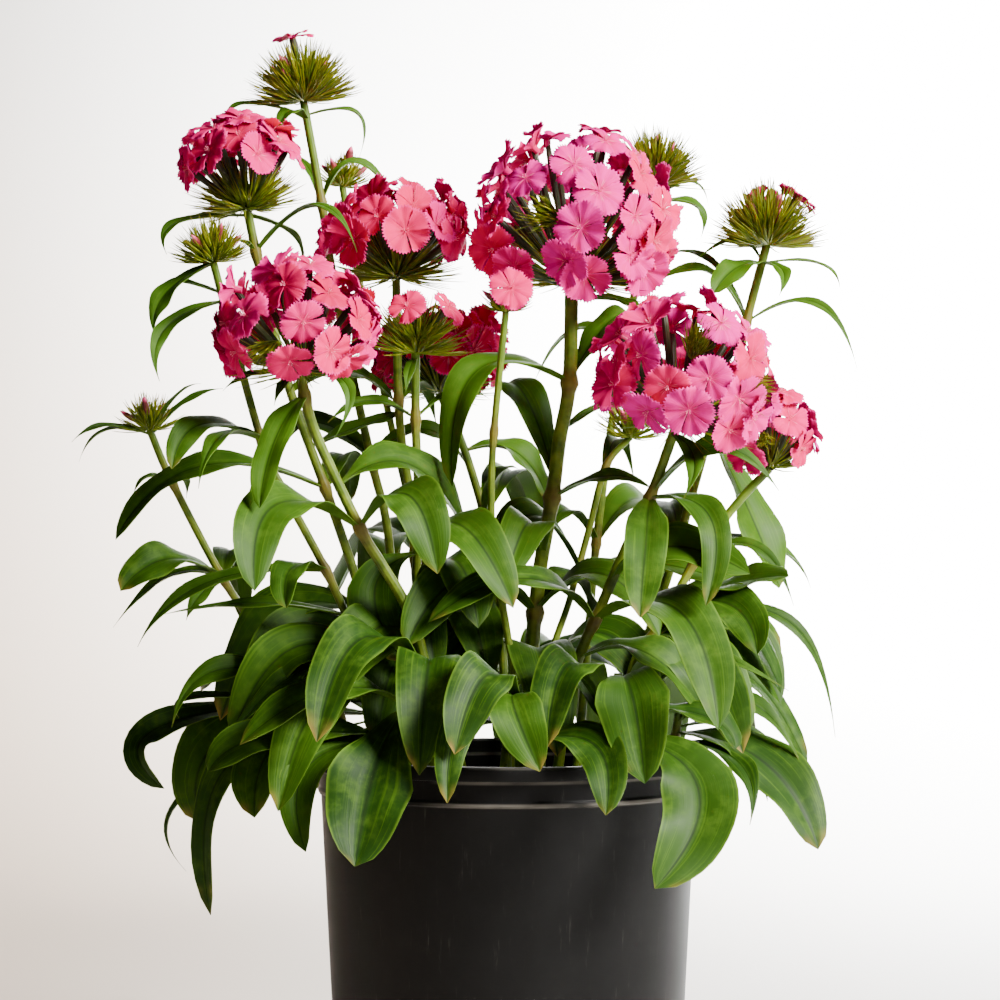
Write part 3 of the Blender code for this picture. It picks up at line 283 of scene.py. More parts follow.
# %% Leaves on the far side: stem, then height of the root, turn from +X, reach, rise, drop, width
FAR_LEAVES = [
    ("shoot_back", [(186, 60, 78, 14, 60, 20), (182, 118, 74, 12, 66, 22), (174, 88, 66, 10, 52, 15),
        (188, 20, 60, 16, 26, 12), (188, 168, 60, 16, 28, 12)]),
    ("shoot_right_back", [(186, 40, 76, 12, 62, 21), (180, 78, 70, 12, 50, 16), (184, 4, 72, 14, 44, 13)]),
    ("shoot_left_back", [(182, 112, 72, 14, 58, 18), (176, 150, 70, 10, 50, 14)]),
    ("behind_middle", [(262, 70, 66, 18, 34, 15), (220, 110, 62, 12, 40, 16)]),
    ("behind_left", [(240, 130, 68, 16, 36, 14), (240, 320, 42, 12, 20, 8), (340, 96, 44, 10, 24, 7),
        (340, 215, 38, 10, 20, 6)]),
    ("behind_right", [(250, 50, 66, 18, 36, 15), (250, 227, 32, 14, 16, 8), (330, 20, 44, 12, 24, 7),
        (330, 150, 44, 12, 24, 7)]),
    ("tall_right", [(252, 96, 60, 14, 38, 13)]),
    ("tall_left", [(284, 150, 62, 16, 34, 11), (284, 29, 47, 14, 18, 8), (240, 100, 56, 10, 36, 14)]),
    ("left", [(273, 80, 46, 14, 20, 9)]),
    ("far_left", [(236, 84, 46, 10, 30, 10)]),
    ("middle_left", [(309, 70, 44, 8, 18, 8)]),
    ("centre", [(222, 48, 39, 14, 24, 12)]),
    ("bud", [(282, 70, 40, 12, 18, 6)]),
    ("left", [(196, 205, 62, 20, 34, 17), (184, 160, 46, 9, 26, 14)]),
    ("small_left", [(180, 230, 62, 10, 42, 16), (192, 190, 60, 18, 36, 15)]),
    ("tall_left", [(184, 149, 74, 20, 40, 18)]),
    ("front_left", [(196, 231, 66, 18, 38, 16), (186, 265, 48, 19, 42, 17)]),
    ("front_middle", [(190, 246, 41, 14, 33, 15), (230, 306, 43, 14, 26, 17)]),
    ("middle_left", [(205, 300, 52, 20, 30, 16)]),
    ("centre", [(190, 280, 58, 18, 40, 18), (200, 206, 46, 14, 26, 16), (245, 250, 44, 14, 24, 14)]),
    ("low_right", [(190, 320, 58, 18, 40, 18), (205, 10, 60, 18, 34, 16)]),
    ("tall_right", [(200, 345, 62, 20, 36, 17)]),
    ("bud", [(200, 330, 50, 13, 28, 15)]),
]
print("stems", len(STEMS) + len(SHOOTS), "leaves", sum(len(rows) for _, rows in LEAVES + FAR_LEAVES))

# %% [markdown]
# Materials and repeats are both trees of nodes. Built by hand in the editor, a tree is hard to read
# later, so two small classes write it as Python: one adds any node, its settings first and then its
# sockets, and the other lets a socket take part in sums, so that 1 - mask reads as it does on paper.

# %% A socket that can be reckoned with, and a tree that adds nodes
class Value:
    """A node's output that takes part in sums like a number."""

    def __init__(self, tree, socket):
        self.tree = tree
        self.socket = socket

    def sum_of(self, operation, one, two=0.0):
        return self.tree.node("ShaderNodeMath", {"operation": operation}, {0: one, 1: two})

    def __add__(self, other):
        return self.sum_of("ADD", self, other)

    def __radd__(self, other):
        return self.sum_of("ADD", other, self)

    def __sub__(self, other):
        return self.sum_of("SUBTRACT", self, other)

    def __rsub__(self, other):
        return self.sum_of("SUBTRACT", other, self)

    def __mul__(self, other):
        return self.sum_of("MULTIPLY", self, other)

    def __rmul__(self, other):
        return self.sum_of("MULTIPLY", other, self)

    def __truediv__(self, other):
        return self.sum_of("DIVIDE", self, other)

    def size(self):
        return self.sum_of("ABSOLUTE", self)

    def root(self):
        return self.sum_of("SQRT", self)

    def sine(self):
        return self.sum_of("SINE", self)

    def cosine(self):
        return self.sum_of("COSINE", self)

    def ramp(self, low, high):
        """0 below the low value, 1 above the high one, and smooth between them."""
        sockets = {"Value": self, "From Min": low, "From Max": high}
        return self.tree.node("ShaderNodeMapRange", {"interpolation_type": "SMOOTHSTEP"}, sockets)

    def other(self, name):
        """Another output of the same node."""
        return Value(self.tree, self.socket.node.outputs[name])


class Tree:
    """Adds nodes to a shader tree or a geometry tree."""

    def __init__(self, tree):
        self.tree = tree

    def node(self, kind, settings=None, sockets=None, output=0):
        made = self.tree.nodes.new(kind)
        for name, value in (settings or {}).items():
            setattr(made, name, value)
        for name, value in (sockets or {}).items():
            if isinstance(value, Value):
                self.tree.links.new(value.socket, made.inputs[name])
            else:
                made.inputs[name].default_value = value
        return Value(self, made.outputs[output])

    def parts(self, vector):
        return [self.node("ShaderNodeSeparateXYZ", None, {0: vector}, axis) for axis in "XYZ"]

    def vector(self, x, y, z):
        return self.node("ShaderNodeCombineXYZ", None, {0: x, 1: y, 2: z})


# %% [markdown]
# Every finish on the plant is painted by nodes. The base of each is a Principled shader whose
# colour, roughness and bump come from noise at the scale of the real marks. Colours are written as
# they look on a screen, 0 to 255, and are turned into the linear values that the shader wants.

# %% A finish: a material with the helpers that every one of them uses
def paint(red, green, blue):
    """A linear colour from one that is given as it looks on a screen."""
    shares = [channel / 255.0 for channel in (red, green, blue)]
    return [s / 12.92 if s <= 0.04045 else ((s + 0.055) / 1.055) ** 2.4 for s in shares] + [1.0]


class Finish(Tree):
    """A material while its nodes are being added."""

    def __init__(self, name):
        self.look = bpy.data.materials.new(name)
        self.look.use_nodes = True
        super().__init__(self.look.node_tree)
        self.shader = self.look.node_tree.nodes["Principled BSDF"]

    def place(self):
        """Where a point is on the piece, in metres."""
        return self.node("ShaderNodeTexCoord", output="Object")

    def across_and_along(self):
        """The piece's own map: across it and along it."""
        x, y, _ = self.parts(self.node("ShaderNodeUVMap", {"uv_map": "UVMap"}))
        return x, y

    def mark(self, name):
        """A value that was stored at each point when the shape was made."""
        return self.node("ShaderNodeAttribute", {"attribute_name": name}, None, "Fac")

    def noise(self, vector, scale, detail=3.0, roughness=0.55):
        sockets = {"Vector": vector, "Scale": scale, "Detail": detail, "Roughness": roughness}
        return self.node("ShaderNodeTexNoise", None, sockets)

    def mix(self, share, one, two):
        """From one colour to the other by a share."""
        one, two = [paint(*colour) if isinstance(colour, tuple) else colour for colour in (one, two)]
        return self.node("ShaderNodeMix", {"data_type": "RGBA"}, {0: share, 6: one, 7: two}, 2)

    def coats(self, colour, *layers):
        """Lays further colours over the first one, each by its own share."""
        for share, layer in layers:
            colour = self.mix(share, colour, layer)
        return colour

    def bump(self, height, strength, distance):
        """Small relief on the surface. The distance is in metres."""
        sockets = {"Strength": strength, "Distance": distance, "Height": height}
        return self.node("ShaderNodeBump", None, sockets)

    def surface(self, **sockets):
        """Sets the shader's own sockets, and gives back the finished material."""
        for name, value in sockets.items():
            socket = self.shader.inputs[name.replace("_", " ")]
            if isinstance(value, Value):
                self.tree.links.new(value.socket, socket)
            else:
                socket.default_value = value
        return self.look


# %% [markdown]
# The pot is blow-moulded black plastic. It's satin, not glossy, with fine upright scuffs from being
# stacked with others. Its edges, the lip and the step under the collar, get paler bands that are
# partly rubbed wear and partly a painted highlight where they catch the light. The scuffs run up and
# down, so the noise is read by angle and height.

# %% Pot plastic
def pot_finish():
    finish = Finish("satin_black_plastic")
    place = finish.place()
    x, y, z = finish.parts(place)
    angle = x.sum_of("ARCTAN2", y, x)
    height = z / MM
    scuffs = finish.noise(finish.vector(angle * 26.0, height * 0.035, 0.0), 1.0, 5.0, 0.7)
    fine = finish.noise(finish.vector(angle * 120.0, height * 0.12, 3.0), 1.0, 2.0)
    cloud = finish.noise(place, 22.0, 3.0)
    scratched = scuffs.ramp(0.56, 0.74) * fine.ramp(0.45, 0.7)
    # Paler bands under the lip, under the collar and on the rim top: partly rubbed wear, partly a painted
    # highlight.
    under_lip = 1.0 - (height - (POT_HEIGHT - 6.4)).size().ramp(0.2, 1.1)
    under_collar = 1.0 - (height - (COLLAR_BOTTOM - 0.4)).size().ramp(0.4, 1.3)
    rim_top = height.ramp(POT_HEIGHT - 1.2, POT_HEIGHT - 0.3)
    wear_and_highlight = (under_lip + under_collar + rim_top * 0.7) * cloud.ramp(0.3, 0.62)
    colour = finish.coats(
        (6, 6, 6), (cloud.ramp(0.3, 0.7), (12, 12, 12)), (scratched * 0.55, (62, 61, 58)),
        (wear_and_highlight * 0.55, (124, 120, 112)),
    )
    rough = 0.44 + cloud * 0.12 + scratched * 0.22 + wear_and_highlight * 0.12
    relief = finish.bump(scuffs * 0.6 + fine * 0.4, 0.12, 0.0002)
    return finish.surface(Base_Color=colour, Roughness=rough, Normal=relief, Specular_IOR_Level=0.11)


# %% [markdown]
# Potting soil is dark when moist, with paler fibres of bark in it. A fine noise gives the crumbs
# their grain, and a coarse one lets whole patches dry out a little.

# %% Soil
def soil_finish():
    finish = Finish("dark_potting_soil")
    place = finish.place()
    grain = finish.noise(place, 900.0, 4.0, 0.65)
    patch = finish.noise(place, 90.0, 3.0)
    colour = finish.coats(
        (28, 20, 14), (grain.ramp(0.35, 0.7), (74, 56, 41)), (patch.ramp(0.5, 0.72) * 0.6, (104, 84, 64)),
    )
    relief = finish.bump(grain, 0.5, 0.0008)
    return finish.surface(Base_Color=colour, Roughness=0.95, Normal=relief)


# %% [markdown]
# A leaf of this plant is mid green with paler patches and light scuffs. Leaves that start low on the
# plant are a darker green, which is painted shade. Its midrib is a groove above, darkened by painted
# shade, faint veins run along it, its margin and its underside are paler, and some tips dry to tan.
# The leaf's own map says how far across and along it a point is, so all of that follows it.

# %% Leaf
def leaf_finish():
    finish = Finish("dianthus_leaf")
    place = finish.place()
    across, along = finish.across_and_along()
    tone = finish.mark("tone")
    under = finish.mark("underside")
    side = (across * 2.0 - 1.0).size()
    mottle = finish.noise(place, 150.0, 4.0, 0.6)
    patch = finish.noise(place, 42.0, 2.0)
    veins = finish.noise(finish.vector(across * 26.0, along * 1.5, tone * 20.0), 1.0, 2.0)
    scuff = finish.noise(finish.vector(across * 40.0, along * 8.0, tone * 9.0), 1.0, 4.0, 0.8)
    dry = along.ramp(0.90, 1.0) * patch.ramp(0.45, 0.6) * side.ramp(0.0, 0.9)
    # The tone is half random and half painted shade, which is darker for leaves that start low.
    green = finish.coats(
        (20, 48, 2), (tone, (54, 88, 4)),
        (mottle.ramp(0.4, 0.72) * patch.ramp(0.3, 0.65) * 0.45, (76, 108, 26)),
        (veins.ramp(0.52, 0.7) * 0.35, (74, 108, 14)),
        (side.ramp(0.90, 0.99) * 0.4, (96, 130, 34)),
        # Painted shade: the midrib groove on the upper face is darkened.
        ((1.0 - side.ramp(0.0, 0.10)) * (1.0 - under) * 0.7, (8, 26, 1)),
        ((1.0 - along.ramp(0.0, 0.18)) * 0.45, (96, 122, 24)),
        (under * 0.45, (62, 92, 26)),
        (scuff.ramp(0.68, 0.78) * 0.45, (150, 162, 110)),
        (dry * 0.6, (150, 118, 52)),
    )
    rough = 0.46 + mottle * 0.2
    relief = finish.bump(veins * 0.7 + mottle * 0.3, 0.35, 0.0004)
    return finish.surface(Base_Color=green, Roughness=rough, Normal=relief, Specular_IOR_Level=0.17)


# %% [markdown]
# Stems are yellow-green, fluted lengthwise, and flush red-brown where a pair of leaves joins them.
# The strength of that flush is stored at each point while the stem is made.

# %% Stem
def stem_finish():
    finish = Finish("dianthus_stem")
    place = finish.place()
    across, along = finish.across_and_along()
    knot = finish.mark("knot")
    mottle = finish.noise(place, 160.0, 3.0)
    flutes = (across * (2.0 * math.pi * 9.0)).sine()
    green = finish.coats(
        (66, 88, 8), (mottle.ramp(0.3, 0.7), (104, 122, 22)), (along.ramp(0.75, 1.0) * 0.5, (72, 106, 14)),
        (knot * 0.4, (120, 62, 34)),
    )
    relief = finish.bump(flutes * 0.5 + mottle * 0.5, 0.25, 0.0003)
    return finish.surface(Base_Color=green, Roughness=0.5, Normal=relief, Specular_IOR_Level=0.3)


# %% [markdown]
# Bracts are the bristles round each head. They are yellow-green at the root, from dark to light
# green along the middle, and brown-red at the tip, where they dry out first.

# %% Bracts
def bract_finish():
    finish = Finish("bract_green")
    _, along = finish.across_and_along()
    tone = finish.mark("tone")
    green = finish.coats(
        (58, 82, 3), (tone, (142, 156, 16)), ((1.0 - along.ramp(0.0, 0.4)) * 0.5, (128, 150, 22)),
        (along.ramp(0.5, 1.0) * (0.1 + tone * 0.6), (98, 30, 14)),
    )
    return finish.surface(Base_Color=green, Roughness=0.55, Specular_IOR_Level=0.25)


# %% [markdown]
# The calyx is the ribbed green tube that holds each floret. It browns towards its top, and it's what
# shows as a dark gap between the florets of a head.

# %% Calyx
def calyx_finish():
    finish = Finish("calyx_green")
    place = finish.place()
    across, along = finish.across_and_along()
    ribs = (across * (2.0 * math.pi * 10.0)).sine()
    cloud = finish.noise(place, 120.0, 3.0)
    green = finish.coats(
        (44, 64, 6), (along.ramp(0.2, 0.9), (40, 38, 8)), (cloud.ramp(0.5, 0.75) * 0.5, (74, 14, 16)),
    )
    relief = finish.bump(ribs, 0.3, 0.0003)
    return finish.surface(Base_Color=green, Roughness=0.55, Normal=relief)


# %% [markdown]
# Petals run from pale pink through hot pink to crimson, so each floret stores its own blush: a random
# part, and a part set for each head that is higher for the heads on the shaded left and at the back,
# which is painted shade. On every petal the colour is streaked from the eye outward, deepest in a
# ring round the eye, with faint pale rays in it and a paler toothed rim.

# %% Petal
def petal_finish():
    finish = Finish("dianthus_petal")
    place = finish.place()
    across, along = finish.across_and_along()
    blush_and_shade = finish.mark("tone")
    side = (across * 2.0 - 1.0).size()
    streaks = finish.noise(finish.vector(across * 16.0, along * 1.1, blush_and_shade * 30.0), 1.0, 3.0, 0.6)
    rays = finish.noise(finish.vector(across * 9.0, along * 0.8, blush_and_shade * 11.0), 1.0, 1.0)
    cloud = finish.noise(place, 60.0, 2.0)
    ring = along.ramp(0.08, 0.22) * (1.0 - along.ramp(0.3, 0.5))
    rim = along.ramp(0.86, 1.0) * 0.3 + side.ramp(0.9, 1.0) * 0.12
    # A higher blush goes to deeper crimson; the blush is partly random and partly painted shade.
    pink = finish.coats(
        (216, 6, 142), (blush_and_shade.ramp(0.0, 0.5), (214, 0, 92)), (blush_and_shade.ramp(0.45, 1.0), (160, 0, 48)),
        (streaks.ramp(0.4, 0.7) * 0.35, (192, 0, 76)),
        (cloud.ramp(0.5, 0.75) * 0.3, (226, 2, 66)),
        (ring * 0.4, (160, 0, 48)),
        (ring * rays.ramp(0.55, 0.7) * 0.4, (255, 140, 170)),
        (rim, (250, 66, 180)),
        (1.0 - along.ramp(0.02, 0.10), (236, 120, 150)),
    )
    relief = finish.bump(streaks, 0.4, 0.0004)
    return finish.surface(Base_Color=pink, Roughness=0.6, Normal=relief, Specular_IOR_Level=0.05)


# %% [markdown]
# A closed bud is a dark red calyx, green at its foot, with the rolled petals as a pink point at its
# tip.

# %% Bud
def bud_finish():
    finish = Finish("closed_bud")
    place = finish.place()
    _, along = finish.across_and_along()
    cloud = finish.noise(place, 140.0, 3.0)
    red = finish.coats(
        (96, 26, 32), (cloud.ramp(0.35, 0.7), (146, 42, 52)), (1.0 - along.ramp(0.0, 0.3), (110, 120, 48)),
        (along.ramp(0.68, 0.9), (224, 62, 118)),
    )
    return finish.surface(Base_Color=red, Roughness=0.5)


# %% Make the finishes once
POT_LOOK = pot_finish()
SOIL_LOOK = soil_finish()
LEAF_LOOK = leaf_finish()
STEM_LOOK = stem_finish()
BRACT_LOOK = bract_finish()
CALYX_LOOK = calyx_finish()
PETAL_LOOK = petal_finish()
BUD_LOOK = bud_finish()
print("finishes", len(bpy.data.materials))

# %% [markdown]
# Stems, leaves and petals are grown point by point, because their shape comes from the tables. One
# class keeps the points, the faces and what the finishes need at each point. It knows two shapes: a
# skin over rings, for what is round, and a ribbon, for what is flat and thin. Both come out closed,
# and a shell that came out inside out is turned, which the sign of its volume tells.

# %% Points and faces of a piece while it grows
SHARP_ANGLE = math.radians(60.0)


class Growth:
    """Collects closed shells into one mesh, with the marks that the finishes read."""

    def __init__(self):
        self.points = []
        self.faces = []
        self.looks = []
        self.slots = []
        self.maps = []
        self.marks = {"tone": [], "underside": [], "knot": []}

    def point(self, place, across, along, tone=0.0, underside=0.0, knot=0.0):
        self.points.append(place)
        self.maps.append((across, along))
        for name, value in (("tone", tone), ("underside", underside), ("knot", knot)):
            self.marks[name].append(value)
        return len(self.points) - 1

    def close(self, faces, look):
        """Adds a shell's faces, turned to point outwards."""
        volume = 0.0
        start = self.points[faces[0][0]]
        for face in faces:
            corners = [self.points[number] - start for number in face]
            for one, two in zip(corners[1:], corners[2:]):
                volume += corners[0].dot(one.cross(two))
        if look not in self.slots:
            self.slots.append(look)
        self.faces += faces if volume > 0 else [tuple(reversed(face)) for face in faces]
        self.looks += [self.slots.index(look)] * len(faces)

    def tube(self, path, radii, sides, look, tone=0.0, knots=None, shares=None):
        """A round shell along a path, closed at both ends."""
        rings = []
        for number, (centre, side, up) in enumerate(frames_along(path)):
            share = shares[number] if shares else number / (len(path) - 1)
            knot = knots[number] if knots else 0.0
            ring = []
            for step in range(sides):
                angle = 2.0 * math.pi * step / sides
                spot = centre + (side * math.cos(angle) + up * math.sin(angle)) * radii[number]
                ring.append(self.point(spot, step / sides, share, tone, 0.0, knot))
            rings.append(ring)
        first = self.point(path[0], 0.5, 0.0, tone)
        last = self.point(path[-1], 0.5, 1.0, tone)
        self.skin(rings, first, last, look)

    def skin(self, rings, first, last, look):
        """A shell over rings of points, with a point in the middle of both ends."""
        faces = []
        sides = len(rings[0])
        for step in range(sides):
            after = (step + 1) % sides
            faces.append((rings[0][after], rings[0][step], first))
            faces.append((rings[-1][step], rings[-1][after], last))
            for one, two in zip(rings, rings[1:]):
                faces.append((one[step], one[after], two[after], two[step]))
        self.close(faces, look)

    def ribbon(self, sections, look, tone=0.0):
        """A thin shell from sections of (along, [(across, above, below)])."""
        tops = []
        lows = []
        for along, section in sections:
            tops.append([self.point(above, across, along, tone) for across, above, _ in section])
            lows.append([self.point(below, across, along, tone, 1.0) for across, _, below in section])
        faces = []
        width = len(tops[0])
        for row in range(len(tops) - 1):
            for step in range(width - 1):
                after = step + 1
                faces.append((tops[row][step], tops[row][after], tops[row + 1][after], tops[row + 1][step]))
                faces.append((lows[row][after], lows[row][step], lows[row + 1][step], lows[row + 1][after]))
            faces.append((lows[row][0], tops[row][0], tops[row + 1][0], lows[row + 1][0]))
            faces.append((tops[row][-1], lows[row][-1], lows[row + 1][-1], tops[row + 1][-1]))
        for step in range(width - 1):
            faces.append((lows[0][step], lows[0][step + 1], tops[0][step + 1], tops[0][step]))
            faces.append((tops[-1][step], tops[-1][step + 1], lows[-1][step + 1], lows[-1][step]))
        self.close(faces, look)

    def mesh(self, name):
        made = bpy.data.meshes.new(name)
        made.from_pydata(self.points, [], self.faces)
        for look in self.slots:
            made.materials.append(look)
        made.polygons.foreach_set("material_index", self.looks)
        corners = made.uv_layers.new(name="UVMap").data
        flat = [part for loop in made.loops for part in self.maps[loop.vertex_index]]
        corners.foreach_set("uv", flat)
        for label, values in self.marks.items():
            if any(values):
                made.attributes.new(label, "FLOAT", "POINT").data.foreach_set("value", values)
        made.shade_smooth()
        made.set_sharp_from_angle(angle=SHARP_ANGLE)
        return made


def frames_along(path):
    """A side and an up direction at each point of a path, turned as little as possible."""
    side = None
    found = []
    for number, centre in enumerate(path):
        along = (path[min(number + 1, len(path) - 1)] - path[max(number - 1, 0)]).normalized()
        if side is None:
            side = along.orthogonal().normalized()
        side = (side - along * side.dot(along)).normalized()
        found.append((centre, side, along.cross(side)))
    return found


# %% [markdown]
# A finished piece is one mesh at the origin that rides on the model's one body and stands for a plain
# solid. Some pieces are grown in Python and partly made by Geometry Nodes, so the parts are joined.

# %% Turn parts into a finished piece
def add_object(name, data):
    thing = bpy.data.objects.new(name, data)
    bpy.context.scene.collection.objects.link(thing)
    return thing


def finished_piece(name, meshes, node):
    """Joins meshes given in millimetres and lets them stand for a plain solid."""
    parts = [add_object(name if number == 0 else "part", mesh) for number, mesh in enumerate(meshes)]
    if len(parts) > 1:
        with bpy.context.temp_override(active_object=parts[0], selected_editable_objects=parts):
            bpy.ops.object.join()
    piece = parts[0]
    piece.data.transform(Matrix.Scale(MM, 4))
    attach(piece, "root")
    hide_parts(node)
    return sum(len(face.vertices) - 2 for face in piece.data.polygons)


# %% [markdown]
# The pot is turned from one outline, as its mould is. The corners of the lip, of the step under the
# collar and of the foot are rounded by cutting each one off in small steps, because a real moulded
# edge catches a thin line of light. The inside is plain.

# %% Pot
POT_SIDES = 160
POT_OUTLINE = [
    (BASE_RADIUS, 0.0, 1.6),
    (COLLAR_RADIUS - 0.6, COLLAR_BOTTOM - 1.2, 0.5),
    (COLLAR_RADIUS + 0.5, COLLAR_BOTTOM - 0.6, 0.25),
    (COLLAR_RADIUS + 0.5, COLLAR_BOTTOM + 0.8, 0.25),
    (COLLAR_RADIUS, COLLAR_BOTTOM + 1.4, 0.5),
    (COLLAR_RADIUS + 0.4, POT_HEIGHT - 2.5, 1.0),
    (RIM_RADIUS - WALL, POT_HEIGHT - 2.5, 0.8),
    (RIM_RADIUS - WALL, POT_HEIGHT - 5.5, 0.3),
    (RIM_RADIUS, POT_HEIGHT - 5.5, 0.5),
    (RIM_RADIUS, POT_HEIGHT, 1.5),
    (COLLAR_RADIUS - WALL + 0.4, POT_HEIGHT, 1.2),
    (COLLAR_RADIUS - WALL, COLLAR_BOTTOM, 2.0),
    (BASE_RADIUS - WALL, POT_FLOOR, 2.0),
]


def rounded(outline, closing):
    """Cuts each corner of an outline off in steps, by the length that its third number gives."""
    corners = [Vector((0.0, 0.0))] + [Vector(row[:2]) for row in outline] + [Vector(closing)]
    found = []
    for number, (_, _, cut) in enumerate(outline, 1):
        corner = corners[number]
        before = corner + (corners[number - 1] - corner).normalized() * cut
        after = corner + (corners[number + 1] - corner).normalized() * cut
        for step in range(5):
            t = step / 4.0
            found.append(before * (1 - t) ** 2 + corner * (2 * t * (1 - t)) + after * t ** 2)
    return found


def turned(outline, top, bottom, sides, look, growth):
    """A solid of revolution between two points on the axis."""
    first = growth.point(Vector((0.0, 0.0, bottom)), 0.0, 0.0)
    last = growth.point(Vector((0.0, 0.0, top)), 0.0, 1.0)
    rings = []
    for radius, height in outline:
        ring = []
        for step in range(sides):
            angle = 2.0 * math.pi * step / sides
            spot = Vector((radius * math.cos(angle), radius * math.sin(angle), height))
            ring.append(growth.point(spot, step / sides, height))
        rings.append(ring)
    growth.skin(rings, first, last, look)


pot = Growth()
turned(rounded(POT_OUTLINE, (0.0, POT_FLOOR)), POT_FLOOR, 0.0, POT_SIDES, POT_LOOK, pot)
total = finished_piece("nursery_pot", [pot.mesh("nursery_pot")], "pot")
print("pot triangles", total)

# %% [markdown]
# Repeats are scattered by Geometry Nodes. A short helper adds a tree's named inputs, runs it on an
# empty mesh or on the ground that they lie on, and gives the result back as a plain mesh. A
# modifier's inputs are set by each socket's identifier before the object is first evaluated.

# %% Run a geometry tree
class Repeats(Tree):
    """A geometry tree with named inputs."""

    def __init__(self, name, inputs):
        super().__init__(bpy.data.node_groups.new(name, "GeometryNodeTree"))
        self.tree.interface.new_socket("Geometry", in_out="OUTPUT", socket_type="NodeSocketGeometry")
        for label, kind in inputs.items():
            self.tree.interface.new_socket(label, in_out="INPUT", socket_type="NodeSocket" + kind)
        self.start = self.node("NodeGroupInput")

    def given(self, label):
        return self.start.other(label)

    def chance(self, low, high, seed):
        """A random number for each point."""
        return self.node("FunctionNodeRandomValue", None, {2: low, 3: high, "Seed": seed}, 1)

    def reckon(self, operation, one, two, output=0):
        """A sum of two vectors."""
        return self.node("ShaderNodeVectorMath", {"operation": operation}, {0: one, 1: two}, output)

    def scaled(self, vector, size):
        return self.node("ShaderNodeVectorMath", {"operation": "SCALE"}, {0: vector, "Scale": size})

    def shape_of(self, label):
        """The shape of the object that an input names."""
        return self.node("GeometryNodeObjectInfo", None, {"Object": self.given(label)}, "Geometry")

    def stand(self, points, instance, turn, size, **more):
        """Copies of a shape on points, each with its own turn and size."""
        sockets = {"Points": points, "Instance": instance, "Rotation": turn, "Scale": size}
        sockets.update({name.replace("_", " "): value for name, value in more.items()})
        return self.node("GeometryNodeInstanceOnPoints", None, sockets)

    def tinted(self, copies, tone):
        """Stores a tint on each copy, which its finish reads."""
        return self.node("GeometryNodeStoreNamedAttribute", {"data_type": "FLOAT", "domain": "INSTANCE"}, {
            "Geometry": copies, "Name": "tone", "Value": tone,
        })

    def finish(self, instances, look):
        """Ends the tree: real faces instead of instances, and their material."""
        real = self.node("GeometryNodeRealizeInstances", None, {0: instances})
        painted = self.node("GeometryNodeSetMaterial", None, {"Geometry": real, "Material": look})
        end = self.tree.nodes.new("NodeGroupOutput")
        self.tree.links.new(painted.socket, end.inputs[0])


def run(repeats, values, ground=None):
    """The mesh that a tree makes with these values."""
    thing = add_object("scatter", ground or bpy.data.meshes.new("scatter"))
    modifier = thing.modifiers.new("Repeats", "NODES")
    modifier.node_group = repeats.tree
    for item in repeats.tree.interface.items_tree:
        if item.in_out == "INPUT" and item.name in values:
            modifier[item.identifier] = values[item.name]
    depsgraph = bpy.context.evaluated_depsgraph_get()
    evaluated = thing.evaluated_get(depsgraph)
    made = bpy.data.meshes.new_from_object(evaluated, preserve_all_data_layers=True, depsgraph=depsgraph)
    thing.modifiers.clear()
    bpy.data.objects.remove(thing, do_unlink=True)
    return made


# %% [markdown]
# The soil is a crowned plug with an uneven top. Crumbs of many sizes lie on it: each is a lump with
# thirty faces, scattered over the top by Geometry Nodes, turned at random and sunk halfway in.

# %% Soil
SOIL_SIDES = 96
SOIL_CROWN = 2.0
SOIL_STEPS = (0.96, 0.9, 0.8, 0.68, 0.55, 0.4, 0.25, 0.1)


def soil_radius(height):
    """The inside of the pot at a height, less a small gap."""
    share = (height - POT_FLOOR) / (COLLAR_BOTTOM - POT_FLOOR)
    return BASE_RADIUS - WALL + (COLLAR_RADIUS - BASE_RADIUS) * share - 0.35


def soil_mesh():
    outline = [(soil_radius(POT_FLOOR), POT_FLOOR + 0.4), (soil_radius(SOIL_TOP), SOIL_TOP - 0.6)]
    edge = soil_radius(SOIL_TOP)
    for share in SOIL_STEPS:
        outline.append((edge * share, SOIL_TOP + SOIL_CROWN * min(1.0, (1.0 - share) * 2.2)))
    soil = Growth()
    turned(outline, SOIL_TOP + SOIL_CROWN, POT_FLOOR + 0.4, SOIL_SIDES, SOIL_LOOK, soil)
    chance = random.Random(3)
    for spot in soil.points:
        if spot.z > SOIL_TOP - 1.0 and spot.xy.length < edge - 1.0:
            spot.z += chance.uniform(-0.7, 0.4)
    return soil.mesh("soil")


def crumb_mesh():
    crumb = Growth()
    chance = random.Random(5)
    path = [Vector(spot) for spot in ((0.0, 0.0, -0.8), (0.1, 0.0, -0.3), (0.0, 0.1, 0.3), (0.0, 0.0, 0.8))]
    crumb.tube(path, [0.5, 0.95, 0.9, 0.45], 6, SOIL_LOOK)
    for spot in crumb.points:
        spot *= chance.uniform(0.8, 1.2)
    return crumb.mesh("crumb")


